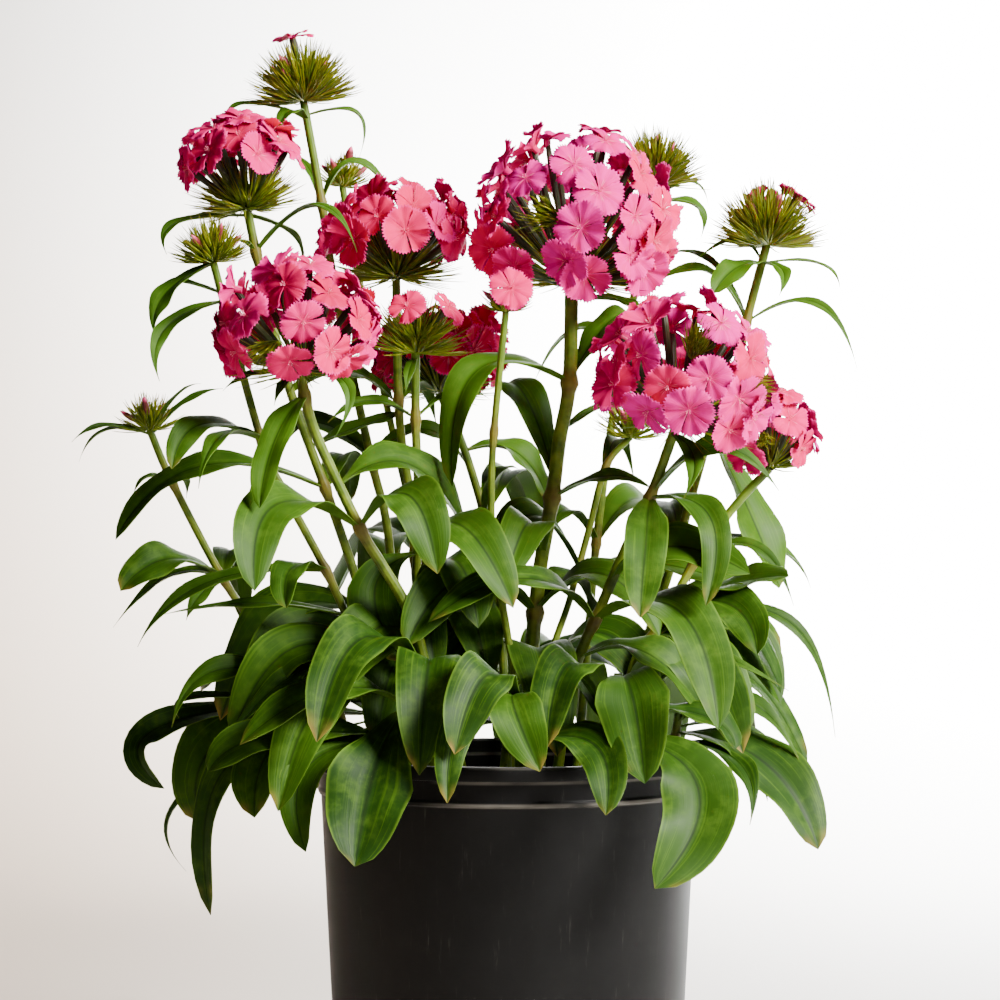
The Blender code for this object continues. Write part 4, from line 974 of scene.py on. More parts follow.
def crumb_tree():
    repeats = Repeats("crumbs_on_soil", {
        "Ground": "Geometry", "Crumb": "Object", "Spacing": "Float", "Smallest": "Float",
        "Largest": "Float", "Seed": "Int", "Finish": "Material",
    })
    ground = repeats.given("Ground")
    height = repeats.parts(repeats.node("GeometryNodeInputPosition"))[2]
    top = repeats.node("FunctionNodeCompare", {"operation": "GREATER_THAN"}, {0: height, 1: SOIL_TOP - 0.5})
    spread = repeats.node("GeometryNodeDistributePointsOnFaces", {"distribute_method": "POISSON"}, {
        "Mesh": ground, "Selection": top, "Distance Min": repeats.given("Spacing"), "Density Max": 0.8,
        "Seed": repeats.given("Seed"),
    })
    turn = repeats.vector(*[repeats.chance(0.0, ONE_TURN, seed) for seed in (1, 2, 3)])
    size = repeats.chance(repeats.given("Smallest"), repeats.given("Largest"), 4)
    lying = repeats.stand(spread, repeats.shape_of("Crumb"), turn, size)
    both = repeats.node("GeometryNodeJoinGeometry", None, {0: lying})
    repeats.tree.links.new(ground.socket, both.socket.node.inputs[0])
    repeats.finish(both, repeats.given("Finish"))
    return repeats


crumb = add_object("crumb", crumb_mesh())
soil_made = run(crumb_tree(), {
    "Crumb": crumb, "Spacing": 1.9, "Smallest": 0.7, "Largest": 1.7, "Seed": 2, "Finish": SOIL_LOOK,
}, soil_mesh())
bpy.data.objects.remove(crumb, do_unlink=True)
total = finished_piece("potting_soil", [soil_made], "soil")
print("soil triangles", total)

# %% [markdown]
# A stem's route is a few measured places. A curve that passes through all of them gives it the soft
# bends of a grown thing. The knots swell where a pair of leaves clasps the stem.

# %% Stems
PATH_STEP = 2.5
KNOT_LENGTH = 2.4
FLUSH_LENGTH = 6.0


def seen_at(x, y, z):
    """The place at depth y that looks as far across and as high as x, z in the middle plane."""
    grow = 1.0 + y / EYE_DISTANCE
    return Vector((EYE_X + (x - EYE_X) * grow, y, EYE_HEIGHT + (z - EYE_HEIGHT) * grow))


def smooth_path(points):
    """Points a few millimetres apart on a curve that passes through all the given ones."""
    ends = [points[0] * 2.0 - points[1]] + points + [points[-1] * 2.0 - points[-2]]
    found = []
    for before, one, two, after in zip(ends, ends[1:], ends[2:], ends[3:]):
        count = max(1, round((two - one).length / PATH_STEP))
        for number in range(count):
            t = number / count
            pull = (two - before) * t + (before * 2.0 - one * 5.0 + two * 4.0 - after) * t ** 2
            pull += (one * 3.0 - before - two * 3.0 + after) * t ** 3
            found.append(one + pull * 0.5)
    return found + [points[-1]]


def stem_path(foot, top_depth, route):
    low = route[0][1]
    high = route[-1][1]
    path = [Vector((*foot, STEM_FOOT)), Vector((*foot, SOIL_TOP + 3.5))]
    for x, z in route:
        share = 0.15 + 0.85 * (z - low) / (high - low)
        path.append(seen_at(x, foot[1] + (top_depth - foot[1]) * share, z))
    return smooth_path(path)


def at_height(path, height):
    """The point of a stem's middle line at a height."""
    for low, high in zip(path, path[1:]):
        if low.z <= height <= high.z:
            return low.lerp(high, (height - low.z) / (high.z - low.z))
    return path[-1].copy()


def add_stem(growth, path, radius, knots):
    radii = []
    flush = []
    for number, spot in enumerate(path):
        near = max([math.exp(-((spot.z - knot) / KNOT_LENGTH) ** 2) for knot in knots] + [0.0])
        glow = max([math.exp(-((spot.z - knot) / FLUSH_LENGTH) ** 2) for knot in knots] + [0.0])
        taper = 1.0 - 0.1 * number / (len(path) - 1)
        radii.append(radius * taper * (1.0 + 0.4 * near))
        flush.append(glow)
    growth.tube(path, radii, 12, STEM_LOOK, 0.0, flush)


# %% [markdown]
# A leaf arches from its knot over a crest to its tip, and is folded along the midrib like a shallow
# gutter. Its cross-section is drawn at two dozen places along that arch: nine points above and nine
# below, with a groove for the midrib, a ridge under it, and a gentle wave towards the margins. Broad
# leaves end bluntly and narrow ones come to a point.

# %% Leaves
LEAF_ROWS = 22
LEAF_ACROSS = (-1.0, -0.84, -0.55, -0.22, 0.0, 0.22, 0.55, 0.84, 1.0)
LEAF_ROLL = 42.0
LEAF_FOLD = 0.34
LEAF_THICK = 0.75
LEAF_WIDER = 1.1
LOW_WIDER = 0.16
FAR_WIDER = 1.18
LEAF_SWAY = 0.05
LEAF_TWIST = 22.0
BROAD_LEAF = 10.0


def leaf_share(t, width):
    """How wide a leaf is along its length, as a share of its widest place."""
    broad = width > BROAD_LEAF
    full = math.sin(math.pi * (t * (0.93 if broad else 1.0)) ** 0.85)
    share = 0.34 + 0.66 * max(0.0, full) ** (0.75 if broad else 0.9)
    end = 0.22 if broad else 0.45
    if t > 1.0 - end:
        past = (t - 1.0 + end) / end
        share *= math.sqrt(max(0.0, 1.0 - past ** 2.2)) if broad else 1.0 - past ** 1.3
    return share


def solid_rings(length):
    """How many rings the plain solid of a leaf has, which sets how soon it turns its face."""
    return 2 + sum(length > limit for limit in (26.0, 62.0, 112.0))


def leaf_places(root, crest, tip):
    """The arch that starts at the root, passes the crest half way and ends at the tip."""
    pull = crest * 2.0 - (root + tip) * 0.5
    found = []
    for row in range(LEAF_ROWS + 1):
        t = row / LEAF_ROWS
        found.append((t, root * (1 - t) ** 2 + pull * (2 * t * (1 - t)) + tip * t ** 2))
    return found


def add_leaf(growth, root, crest, tip, width, chance):
    length = (crest - root).length + (tip - crest).length
    flat = Vector((tip.x - root.x, tip.y - root.y, 0.0))
    level = Vector((-flat.y, flat.x, 0.0)).normalized() if flat.length > 1.0 else Vector((1.0, 0.0, 0.0))
    places = leaf_places(root, crest, tip)
    phase = chance.uniform(0.0, ONE_TURN)
    sway = chance.uniform(-LEAF_SWAY, LEAF_SWAY) * length
    twist = math.radians(chance.uniform(-LEAF_TWIST, LEAF_TWIST))
    # How high the leaf starts, 0 low down and 1 high up: low leaves get wider, and darker through the tone,
    # which is painted shade.
    height_share = min(1.0, max(0.0, (root.z - 190.0) / 110.0))
    wider = LEAF_WIDER + LOW_WIDER * (1.0 - height_share)
    sections = []
    for number, (t, centre) in enumerate(places):
        ahead = places[min(number + 1, LEAF_ROWS)][1]
        behind = places[max(number - 1, 0)][1]
        along = (ahead - behind).normalized()
        side = (level - along * level.dot(along)).normalized()
        up = along.cross(side)
        roll = twist * t - math.radians(LEAF_ROLL) * level.y * min(1.0, t * solid_rings(length) / 2.0)
        centre = centre + side * (sway * math.sin(math.pi * t))
        side, up = side * math.cos(roll) - up * math.sin(roll), up * math.cos(roll) + side * math.sin(roll)
        half = max(0.12, width * wider * leaf_share(t, width) / 2.0)
        half = min(half, 1.4 + t * length * 0.35)
        section = []
        for across in LEAF_ACROSS:
            out = abs(across)
            lift = half * (LEAF_FOLD * out - 0.10 * out ** 4)
            lift += half * 0.15 * math.sin(t * 14.0 + phase + (2.0 if across > 0 else 0.0)) * out ** 2
            thick = LEAF_THICK * (1.0 - 0.55 * out) * min(1.0, half)
            ridge = 0.5 * min(1.0, half / 3.0) if across == 0.0 else 0.0
            middle = centre + side * (half * across) + up * lift
            above = middle + up * (thick / 2.0 - ridge * 0.5)
            section.append((0.5 + across / 2.0, above, middle - up * (thick / 2.0 + ridge)))
        sections.append((t, section))
    # The tone: half random, half painted shade that darkens leaves that start low.
    growth.ribbon(sections, LEAF_LOOK, 0.5 * chance.random() + 0.5 * height_share)


# %% [markdown]
# The bristles of a head are all one shape: a thin awl that curls a little towards its tip. A tree
# sets them on a golden-angle spiral round the head's middle, which spreads any number of them evenly
# without rows, and turns each one outward with a random size, spin and tint.

# %% A fan of bracts or buds
AWL_CURL = 14.0
FAN_PARTING = 0.86
DOME_PARTING = 0.93


def spiral(repeats, count, low, high):
    """Directions on a golden-angle spiral between two angles from the axis."""
    index = repeats.node("GeometryNodeInputIndex")
    polar = low + (high - low) * ((index + 0.5) / count).root()
    around = index * GOLDEN_ANGLE + repeats.chance(-0.15, 0.15, 11)
    flat = polar.sine()
    return repeats.vector(flat * around.cosine(), flat * around.sine(), polar.cosine())


PARTINGS = {"Parting": "Vector", "Second Parting": "Vector"}


def clear_of_partings(repeats, outward, closest):
    """True for what leaves room round the two partings of a head."""
    nearest = 0.0
    for label in PARTINGS:
        near = repeats.reckon("DOT_PRODUCT", outward, repeats.given(label), "Value")
        nearest = near.sum_of("MAXIMUM", near, nearest)
    return repeats.node("FunctionNodeCompare", {"operation": "LESS_THAN"}, {0: nearest, 1: closest})


def parting_values(directions):
    """Up to two directions that a head keeps free, and straight down where there are fewer."""
    chosen = [Vector(direction).normalized() for direction in directions] + [Vector((0.0, 0.0, -1.0))] * 2
    return dict(zip(PARTINGS, chosen))


def facing(repeats, outward, spin, lean):
    """A turn that points Z outward and X upward, spun round Z and then leant a little off it."""
    turn = repeats.node("FunctionNodeAlignRotationToVector", {"axis": "Z"}, {"Vector": outward})
    turn = repeats.node("FunctionNodeAlignRotationToVector", {"axis": "X", "pivot_axis": "Z"}, {
        "Rotation": turn, "Vector": (0.0, 0.0, 1.0),
    })
    for angles in (repeats.vector(0.0, 0.0, spin), repeats.vector(lean, 0.0, 0.0)):
        turn = repeats.node("FunctionNodeRotateRotation", {"rotation_space": "LOCAL"}, {0: turn, 1: angles})
    return turn


def fan_tree():
    repeats = Repeats("fan_of_bracts", {
        "Bract": "Object", "Count": "Int", "Low": "Float", "High": "Float", "Middle": "Vector",
        "Inner": "Float", "Shortest": "Float", "Longest": "Float", "Thickness": "Float",
        "Lean": "Float", "Seed": "Int", "Finish": "Material", **PARTINGS,
    })
    count = repeats.given("Count")
    seed = repeats.given("Seed")
    outward = spiral(repeats, count, repeats.given("Low"), repeats.given("High"))
    root = repeats.reckon("ADD", repeats.given("Middle"), repeats.scaled(outward, repeats.given("Inner")))
    points = repeats.node("GeometryNodePoints", None, {"Count": count, "Position": root})
    lean = repeats.given("Lean")
    turn = facing(repeats, outward, repeats.chance(-0.9, 0.9, seed),
                  repeats.chance(lean * -1.0, lean, seed + 1))
    length = repeats.chance(repeats.given("Shortest"), repeats.given("Longest"), seed + 2)
    wide = repeats.given("Thickness") * repeats.chance(0.8, 1.2, seed + 3)
    standing = repeats.stand(points, repeats.shape_of("Bract"), turn, repeats.vector(wide, wide, length),
                             Selection=clear_of_partings(repeats, outward, FAN_PARTING))
    repeats.finish(repeats.tinted(standing, repeats.chance(0.0, 1.0, seed + 4)), repeats.given("Finish"))
    return repeats


def awl_mesh():
    """A bract one unit long with level rings. It curls towards its own X, which the fan turns upward."""
    bract = Growth()
    rings = []
    for height, radius in ((0.0, 0.7), (0.25, 1.0), (0.55, 0.95), (0.85, 0.62)):
        ring = []
        for step in range(4):
            angle = math.pi * step / 2.0
            x = AWL_CURL * height ** 2 + radius * math.cos(angle)
            ring.append(bract.point(Vector((x, radius * math.sin(angle), height)), step / 4.0, height))
        rings.append(ring)
    foot = bract.point(Vector((0.0, 0.0, 0.0)), 0.5, 0.0)
    tip = bract.point(Vector((AWL_CURL, 0.0, 1.0)), 0.5, 1.0)
    bract.skin(rings, foot, tip, BRACT_LOOK)
    return bract.mesh("awl")


def small_bud_mesh():
    """A slim closed bud one unit long."""
    bud = Growth()
    path = [Vector((0.0, 0.0, step / 8.0)) for step in range(9)]
    radii = [0.35, 0.75, 0.95, 1.0, 1.0, 0.92, 0.75, 0.45, 0.08]
    bud.tube(path, radii, 8, BUD_LOOK)
    return bud.mesh("small_bud")


AWL = add_object("awl", awl_mesh())
SMALL_BUD = add_object("small_bud", small_bud_mesh())
FAN = fan_tree()
print("bract triangles", sum(len(face.vertices) - 2 for face in AWL.data.polygons))

# %% [markdown]
# One floret has five wedge-shaped petals with fine teeth round their ends, set round a small pale
# eye. Each petal is a thin ribbon that narrows to the eye, cups a little and ripples at the rim.
# Five of them, flatter or more cupped, are enough to keep a head from looking stamped.

# %% A floret
PETAL_COLUMNS = 20
PETAL_ROWS = (0.0, 0.16, 0.42, 0.76, 1.0)
EYE_RADIUS = 0.05
FLORET_CUPS = (0.04, 0.22, -0.1, 0.12, 0.34)


def add_petal(growth, turn, cup, chance):
    phase = chance.uniform(0.0, ONE_TURN)
    sway = chance.uniform(0.04, 0.13)
    sections = []
    for row in PETAL_ROWS:
        spread = math.radians(33.0 + 5.5 * row)
        section = []
        for step in range(PETAL_COLUMNS + 1):
            across = -1.0 + 2.0 * step / PETAL_COLUMNS
            reach = EYE_RADIUS + (1.0 - EYE_RADIUS) * row * (1.0 - 0.10 * across ** 4 * row)
            if row == 1.0 and step % 2 == 0:
                reach -= chance.uniform(0.07, 0.13)
            angle = turn + across * spread
            height = 0.12 * math.sin(row * 1.9) - 0.1 * row ** 3 + cup * row ** 1.5 + sway * across * row
            height += 0.05 * row ** 2 * math.sin(across * 6.0 + phase) - 0.05 * across ** 2 * row
            height -= 0.03 * (1.0 - abs(across)) * row
            spot = Vector((math.cos(angle) * reach, math.sin(angle) * reach, height))
            thick = 0.022 - 0.012 * row
            lift = Vector((0.0, 0.0, thick))
            section.append((0.5 + across / 2.0, spot + lift, spot - lift))
        sections.append((0.08 + 0.92 * row, section))
    growth.ribbon(sections, PETAL_LOOK)


def add_stamens(growth, chance):
    for number in range(5):
        angle = 2.0 * math.pi * (number + chance.uniform(0.0, 0.5)) / 5.0
        out = Vector((math.cos(angle), math.sin(angle), 0.0))
        path = [out * 0.03, out * 0.06 + Vector((0, 0, 0.12)), out * 0.1 + Vector((0, 0, 0.2))]
        growth.tube(path, [0.012, 0.012, 0.028], 4, PETAL_LOOK, 0.0, None, [0.0, 0.0, 0.0])


def floret_growth(cup, seed):
    """A floret with a radius of one, looking up Z."""
    chance = random.Random(seed)
    floret = Growth()
    for number in range(5):
        turn = math.radians(72.0 * number + chance.uniform(-6.0, 6.0))
        add_petal(floret, turn, cup + chance.uniform(-0.14, 0.14), chance)
    add_stamens(floret, chance)
    floret.tube([Vector((0, 0, -0.3)), Vector((0, 0, 0.0))], [0.14, 0.17], 8, PETAL_LOOK, 0.0, None,
                [0.3, 0.3])
    return floret


FLORETS = bpy.data.collections.new("florets")
bpy.context.scene.collection.children.link(FLORETS)
for number, cup in enumerate(FLORET_CUPS):
    floret_object = bpy.data.objects.new("floret", floret_growth(cup, 20 + number).mesh("floret"))
    FLORETS.objects.link(floret_object)
print("floret triangles", sum(len(face.vertices) - 2 for face in floret_object.data.polygons))

# %% [markdown]
# An open head is a dome of florets, each on its own calyx tube, and all the tubes meet at the top
# of the stem. Both trees use the same spiral over the dome: one sets florets on it that look
# outward, and the other draws a tube from the foot of the head to each of those places.

# %% Domes of florets and their tubes
def dome_places(repeats):
    """The places, the outward directions and the spiral's directions of a head's florets."""
    outward = spiral(repeats, repeats.given("Count"), 0.0, repeats.given("Spread"))
    reach = repeats.reckon("MULTIPLY", outward, repeats.given("Shape"))
    stray = repeats.node("FunctionNodeRandomValue", {"data_type": "FLOAT_VECTOR"}, {
        0: (-1.6, -1.6, -1.6), 1: (1.6, 1.6, 1.6), "Seed": 12,
    })
    place = repeats.reckon("ADD", repeats.reckon("ADD", reach, repeats.given("Middle")), stray)
    return place, reach, outward


DOME_INPUTS = {
    "Count": "Int", "Spread": "Float", "Shape": "Vector", "Middle": "Vector", "Seed": "Int", **PARTINGS,
}


def dome_tree():
    repeats = Repeats("dome_of_florets", {
        **DOME_INPUTS, "Florets": "Collection", "Size": "Float", "Blush and Shade": "Float", "Finish": "Material",
    })
    place, outward, direction = dome_places(repeats)
    seed = repeats.given("Seed")
    points = repeats.node("GeometryNodePoints", None, {"Count": repeats.given("Count"), "Position": place})
    turn = facing(repeats, outward, repeats.chance(0.0, ONE_TURN, seed), repeats.chance(-0.5, 0.5, seed + 1))
    size = repeats.given("Size") * repeats.chance(0.88, 1.1, seed + 2)
    florets = repeats.node("GeometryNodeCollectionInfo", None, {
        0: repeats.given("Florets"), "Separate Children": True, "Reset Children": True,
    })
    standing = repeats.stand(points, florets, turn, size, Pick_Instance=True,
                             Selection=clear_of_partings(repeats, direction, DOME_PARTING))
    # A floret's tone is its head's blush, which is partly painted shade, plus a random part.
    tone = repeats.given("Blush and Shade") + repeats.chance(-0.32, 0.32, seed + 3)
    repeats.finish(repeats.tinted(standing, tone), repeats.given("Finish"))
    return repeats


def tubes_tree():
    repeats = Repeats("calyx_tubes", {
        **DOME_INPUTS, "Tube": "Object", "Foot": "Vector", "Finish": "Material",
    })
    place, _, direction = dome_places(repeats)
    foot = repeats.given("Foot")
    run_out = repeats.reckon("SUBTRACT", place, foot)
    length = repeats.node("ShaderNodeVectorMath", {"operation": "LENGTH"}, {0: run_out}, "Value")
    foot = repeats.reckon("ADD", foot, repeats.scaled(run_out, 0.06))
    points = repeats.node("GeometryNodePoints", None, {"Count": repeats.given("Count"), "Position": foot})
    turn = repeats.node("FunctionNodeAlignRotationToVector", {"axis": "Z"}, {"Vector": run_out})
    size = repeats.vector(1.0, 1.0, length * 0.92)
    standing = repeats.stand(points, repeats.shape_of("Tube"), turn, size,
                             Selection=clear_of_partings(repeats, direction, DOME_PARTING))
    repeats.finish(standing, repeats.given("Finish"))
    return repeats


def tube_mesh():
    """A calyx one unit long, narrow at its foot."""
    calyx = Growth()
    path = [Vector((0.0, 0.0, z)) for z in (0.0, 0.2, 0.42, 0.6, 0.85, 1.0)]
    calyx.tube(path, [0.6, 0.7, 1.1, 1.45, 1.45, 1.1], 8, CALYX_LOOK)
    return calyx.mesh("calyx_tube")


TUBE = add_object("calyx_tube", tube_mesh())
DOME = dome_tree()
TUBES = tubes_tree()

# %% [markdown]
# Now each stem is put together: its tube, its leaves, and the green parts of its head. Every head
# is made upright at the origin and then moved to the top of its stem, leaning the way that it looks.
# The sizes of the florets, bristles and buds that the heads share come first.

# %% Sizes that the heads share
SHOOT_RADIUS = 2.0
FLORET_RADIUS = 10.6
SMALL_FLORET_RADIUS = 9.4
SMALL_HEAD = 45
BUD_LENGTH = 8.0
SEAT_GAP = 0.35
COLLAR_ANGLES = (math.radians(14.0), math.radians(104.0))
LOWER_ANGLES = (0.05, math.radians(96.0))
UPPER_ANGLES = (0.0, math.radians(80.0))
BUD_ANGLES = (0.2, 0.95)

# %% Grow the stems and shoots
def looking(direction):
    """A turn that points Z along a direction."""
    return Vector(direction).normalized().to_track_quat("Z", "Y").to_matrix().to_4x4()


def head_place(path, axis):
    return Matrix.Translation(path[-1]) @ looking(axis)


def placed(mesh, place):
    mesh.transform(place)
    return mesh


growths = {}
paths = {}
for name, (foot, top_depth, radius, route, knots) in STEMS.items():
    paths[name] = stem_path(foot, top_depth, route)
    growths[name] = Growth()
    add_stem(growths[name], paths[name], radius, knots)
for name, (foot, height) in SHOOTS.items():
    top = Vector((foot[0] * 1.08, foot[1] * 1.08, height))
    paths[name] = smooth_path([Vector((*foot, STEM_FOOT)), Vector((*foot, SOIL_TOP + 3.5)), top])
    growths[name] = Growth()
    add_stem(growths[name], paths[name], SHOOT_RADIUS, [height - 12])

leaf_chance = random.Random(11)
for owner, rows in LEAVES:
    for height, crest, tip, depth, width in rows:
        root = at_height(paths[owner], height)
        middle = seen_at(crest[0], root.y + (depth - root.y) * 0.55, crest[1])
        add_leaf(growths[owner], root, middle, seen_at(tip[0], depth, tip[1]), width, leaf_chance)
for owner, rows in FAR_LEAVES:
    for height, turn, reach, rise, drop, width in rows:
        root = at_height(paths[owner], height)
        out = Vector((math.cos(math.radians(turn)), math.sin(math.radians(turn)), 0.0))
        middle = root + out * (reach * 0.55) + Vector((0.0, 0.0, rise))
        end = root + out * reach + Vector((0.0, 0.0, rise - drop))
        add_leaf(growths[owner], root, middle, end, width * FAR_WIDER, leaf_chance)
print("grown", len(growths))

# %% [markdown]
# An open head has its florets as one piece. Its tubes, the collar of bristles under them and the
# tufts between them belong to its stem. A bristly head has two layers of bristles, one from the top
# of the stem and one from a little higher, with slim buds among them.

# %% Heads
def dome_values(width, height, count, spread, seed, partings):
    half = width / 2.0 - 2.5
    rise = height - 2.5
    return {
        "Count": count, "Spread": math.radians(spread), "Shape": (half, half, rise * 0.62),
        "Middle": (0.0, 0.0, 0.12 * height + 0.3 * rise), "Seed": seed, **parting_values(partings),
    }


def fan(bract, look, count, angles, lengths, thickness, lean, seed, inner=1.0, lift=0.0, partings=()):
    """Bristles or buds between two angles from the axis, from a middle that is lifted along it."""
    return run(FAN, {
        "Bract": bract, "Finish": look, "Count": count, "Low": angles[0], "High": angles[1],
        "Middle": (0.0, 0.0, lift), "Inner": inner, "Shortest": lengths[0], "Longest": lengths[1],
        "Thickness": thickness, "Lean": lean, "Seed": seed, **parting_values(partings),
    })


def tuft_meshes(head, values):
    """Narrow fans of bristles that stand out between the florets of a head."""
    found = []
    for number, (owner, direction, count) in enumerate(TUFTS):
        if owner != head:
            continue
        outward = Vector(direction).normalized()
        reach = Vector([one * two for one, two in zip(outward, Vector(values["Shape"]))])
        length = reach.length * 0.62
        tuft = fan(AWL, BRACT_LOOK, count, (0.0, 0.5), (length * 0.7, length * 1.1), 0.28, 0.2,
                   160 + number, 0.8)
        foot = Vector(values["Middle"]) + reach * 0.45
        found.append(placed(tuft, Matrix.Translation(foot) @ looking(direction)))
    return found


green_parts = {name: [] for name in growths}
for number, (name, (axis, width, height, count, spread, blush_and_shade, bristles)) in enumerate(BLOOMS.items()):
    place = head_place(paths[name], axis)
    partings = [direction for owner, direction, _ in TUFTS if owner == name]
    values = dome_values(width, height, count, spread, 30 + number * 10, partings)
    size = FLORET_RADIUS if width > SMALL_HEAD else SMALL_FLORET_RADIUS
    petals = run(DOME, {**values, "Florets": FLORETS, "Size": size, "Blush and Shade": blush_and_shade, "Finish": PETAL_LOOK})
    total = finished_piece("open_blooms_" + name, [placed(petals, place)], "blooms_" + name)
    print("blooms", name, "triangles", total)
    tubes = run(TUBES, {**values, "Tube": TUBE, "Foot": (0.0, 0.0, -1.0), "Finish": CALYX_LOOK})
    collar = fan(AWL, BRACT_LOOK, bristles, COLLAR_ANGLES, (width * 0.3, width * 0.5), 0.3, 0.3, 50 + number,
                 lift=height * 0.04)
    green_parts[name] += [placed(mesh, place) for mesh in [tubes, collar] + tuft_meshes(name, values)]

for number, (name, (axis, width, height, reach, count, buds)) in enumerate(BRISTLES.items()):
    outer = width / 2.0 + reach + height * 0.12
    flowers = [direction for owner, direction, *_ in SINGLES.values() if owner == name]
    lower = fan(AWL, BRACT_LOOK, count, LOWER_ANGLES, (outer * 0.7, outer * 1.1), 0.3, 0.16, 80 + number,
                partings=flowers)
    upper = fan(AWL, BRACT_LOOK, count // 2, UPPER_ANGLES, (outer * 0.5, outer * 0.86), 0.28, 0.2,
                200 + number, outer * 0.16, outer * 0.2)
    closed = fan(SMALL_BUD, BUD_LOOK, buds, BUD_ANGLES, (8.0, 10.0), 1.15, 0.1, 120 + number, width * 0.62,
                 partings=flowers)
    place = head_place(paths[name], axis)
    green_parts[name] += [placed(mesh, place) for mesh in (lower, upper, closed)]

# %% [markdown]
# The single florets and buds of the bristly heads are pieces of their own. Each is seated where its
# direction leaves the core of its head.

# %% Single florets and buds
def seated(stem, direction, distance=0.0):
    """A place just off a bristly head's core, or a distance further out, looking outward."""
    axis, width, height = BRISTLES[stem][:3]
    outward = Vector(direction).normalized()
    flat = outward.xy.length / (width / 2.0)
    reach = 1.0 / math.sqrt(flat ** 2 + (outward.z / (height / 2.0)) ** 2) + SEAT_GAP + distance
    foot = Vector((0.0, 0.0, height * 0.42)) + outward * reach
    return head_place(paths[stem], axis) @ Matrix.Translation(foot) @ looking(direction)


for number, (name, (stem, direction, distance, radius, blush_and_shade)) in enumerate(SINGLES.items()):
    growth = floret_growth(FLORET_CUPS[0], 60 + number)
    growth.marks["tone"] = [blush_and_shade] * len(growth.points)
    calyx = [Vector((0.0, 0.0, -share * distance / radius)) for share in (1.0, 0.6, 0.3, 0.0)]
    growth.tube(calyx, [0.1, 0.19, 0.2, 0.15], 8, CALYX_LOOK)
    mesh = placed(growth.mesh(name), seated(stem, direction, distance) @ Matrix.Scale(radius, 4))
    finished_piece("open_" + name, [mesh], name)
for name, (stem, direction, radius) in BUDS.items():
    size = Matrix.Diagonal((radius, radius, BUD_LENGTH, 1.0))
    mesh = placed(small_bud_mesh(), seated(stem, direction) @ size)
    finished_piece("closed_" + name, [mesh], name)
print("single flowers and buds", len(SINGLES) + len(BUDS))

# %% Finish the stems
total = 0
for name, growth in growths.items():
    node = name if name in SHOOTS else "stem_" + name
    total += finished_piece("leafy_" + node, [growth.mesh(name)] + green_parts[name], node)
print("stems and leaves triangles", total)
for template in (AWL, SMALL_BUD, TUBE, *FLORETS.objects):
    bpy.data.objects.remove(template, do_unlink=True)
bpy.data.collections.remove(FLORETS)

# %% [markdown]
# The plant stands on a seamless pale sweep, as in a studio: a floor that curves up into a backdrop.
# A large soft light stands on the right, so the left side of the plant falls off into shade. The
# sweep's colour also darkens to a warm light grey towards the left and the bottom, which is painted
# shade. Two more lights, out of sight, brighten the floor and the backdrop behind the plant on that
# side, and a faint one fills in from the left.

# %% Floor and backdrop
SWEEP_BEND = 0.7
SWEEP_FLAT = 0.9
SWEEP_HALF = 3.5


def sweep_mesh():
    """A floor that curves up behind the plant, in metres."""
    outline = [(-2.5, 0.0), (SWEEP_FLAT, 0.0)]
    for step in range(1, 13):
        angle = math.radians(7.5 * step)
        outline.append((SWEEP_FLAT + SWEEP_BEND * math.sin(angle), SWEEP_BEND - SWEEP_BEND * math.cos(angle)))
    outline.append((SWEEP_FLAT + SWEEP_BEND, 3.2))
    points = []
    faces = []
    for number, (y, z) in enumerate(outline):
        points += [Vector((-SWEEP_HALF, y, z)), Vector((SWEEP_HALF, y, z))]
        if number:
            faces.append((number * 2 - 2, number * 2 - 1, number * 2 + 1, number * 2))
    mesh = bpy.data.meshes.new("sweep")
    mesh.from_pydata(points, [], faces)
    mesh.shade_smooth()
    return mesh


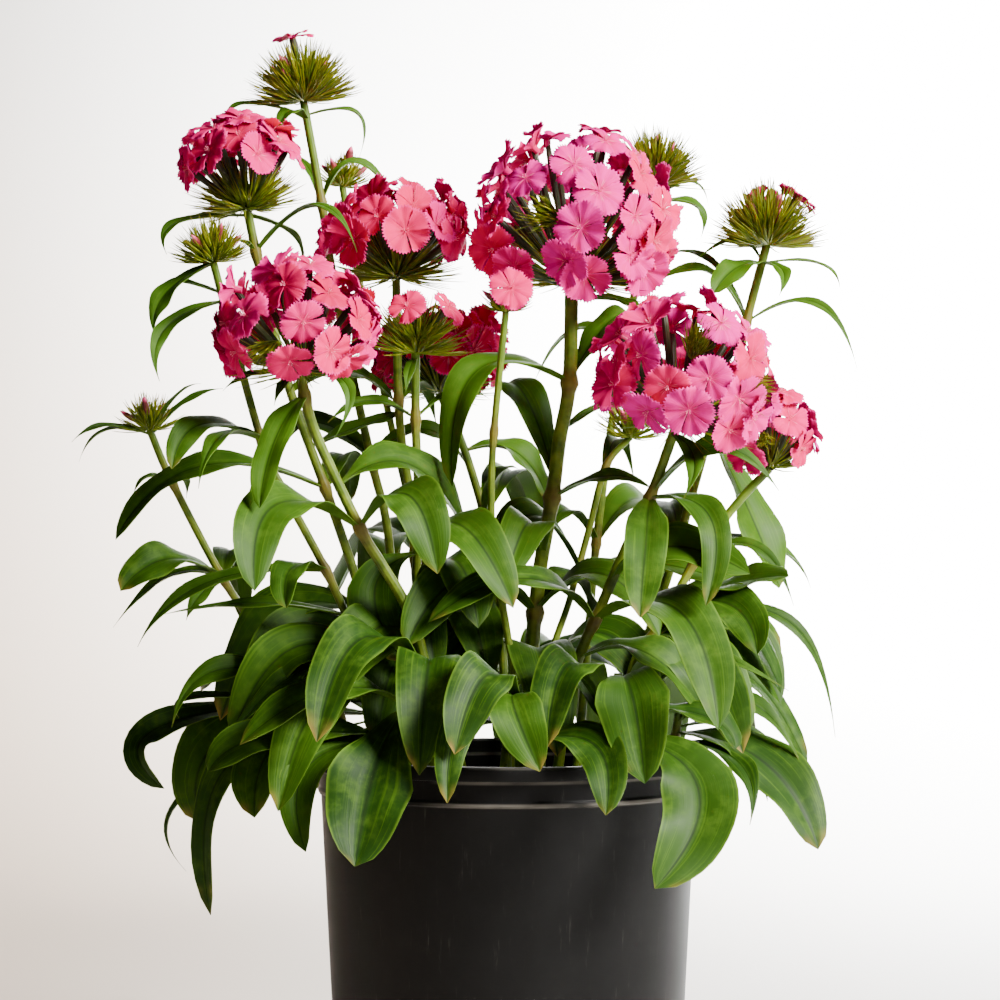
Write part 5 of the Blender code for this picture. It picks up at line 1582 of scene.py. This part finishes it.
def backdrop_finish():
    """Paper that is white on the right and darkens to a warm light grey towards the left and the bottom, a
    painted shade.
    """
    finish = Finish("pale_backdrop")
    x, _, z = finish.parts(finish.place())
    # Painted shade: darker towards the left and the bottom.
    share = (x + z * 0.75).ramp(-0.42, 0.42)
    colour = finish.mix(share, (200, 182, 164), (254, 254, 252))
    return finish.surface(Base_Color=colour, Roughness=0.9)


sweep = add_object("sweep", sweep_mesh())
sweep.data.materials.append(backdrop_finish())
sweep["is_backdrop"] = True


# %% Soft lights: place, aim, width, power, colour, spread in degrees
SOFT_LIGHTS = {
    "key": ((1.35, -1.0, 1.25), (0.0, 0.0, 0.25), 0.8, 32.0, (1.0, 0.97, 0.93), 70.0),
    "fill": ((-1.7, -1.5, 0.9), (0.0, 0.0, 0.25), 1.6, 0.25, (1.0, 0.98, 0.96), 70.0),
    "floor": ((0.6, 1.1, 1.2), (0.42, 0.62, 0.0), 0.6, 5.5, (1.0, 1.0, 1.0), 36.0),
    "backdrop": ((0.9, 0.2, 1.7), (0.5, 1.6, 0.45), 0.7, 118.0, (1.0, 1.0, 1.0), 60.0),
}
for name, (place, aim, width, power, colour, spread) in SOFT_LIGHTS.items():
    lamp = bpy.data.lights.new(name, "AREA")
    lamp.shape = "SQUARE"
    lamp.size = width
    lamp.energy = power
    lamp.color = colour
    lamp.spread = math.radians(spread)
    light = add_object(name, lamp)
    light.location = place
    light.rotation_mode = "QUATERNION"
    light.rotation_quaternion = (Vector(aim) - Vector(place)).to_track_quat("-Z", "Y")

world = bpy.data.worlds.new("studio")
world.use_nodes = True
sky = world.node_tree.nodes["Background"]
sky.inputs["Color"].default_value = (1.0, 0.985, 0.965, 1.0)
sky.inputs["Strength"].default_value = 0.03
bpy.context.scene.world = world

# %% Camera, level with the middle of the plant
camera = add_object("camera", bpy.data.cameras.new("camera"))
camera.data.lens = 120.24
camera.data.sensor_width = 36.0
camera.location = (EYE_X * MM, -EYE_DISTANCE * MM, EYE_HEIGHT * MM)
camera.rotation_euler = (math.radians(90.0), 0.0, 0.0)
bpy.context.scene.camera = camera

# %% Print the two boxes and finish
shown_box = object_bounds()
for label, box in (("solids", solid_box), ("dressed", shown_box)):
    print(label, [round((high - low) / MM, 1) for low, high in zip(*box)])
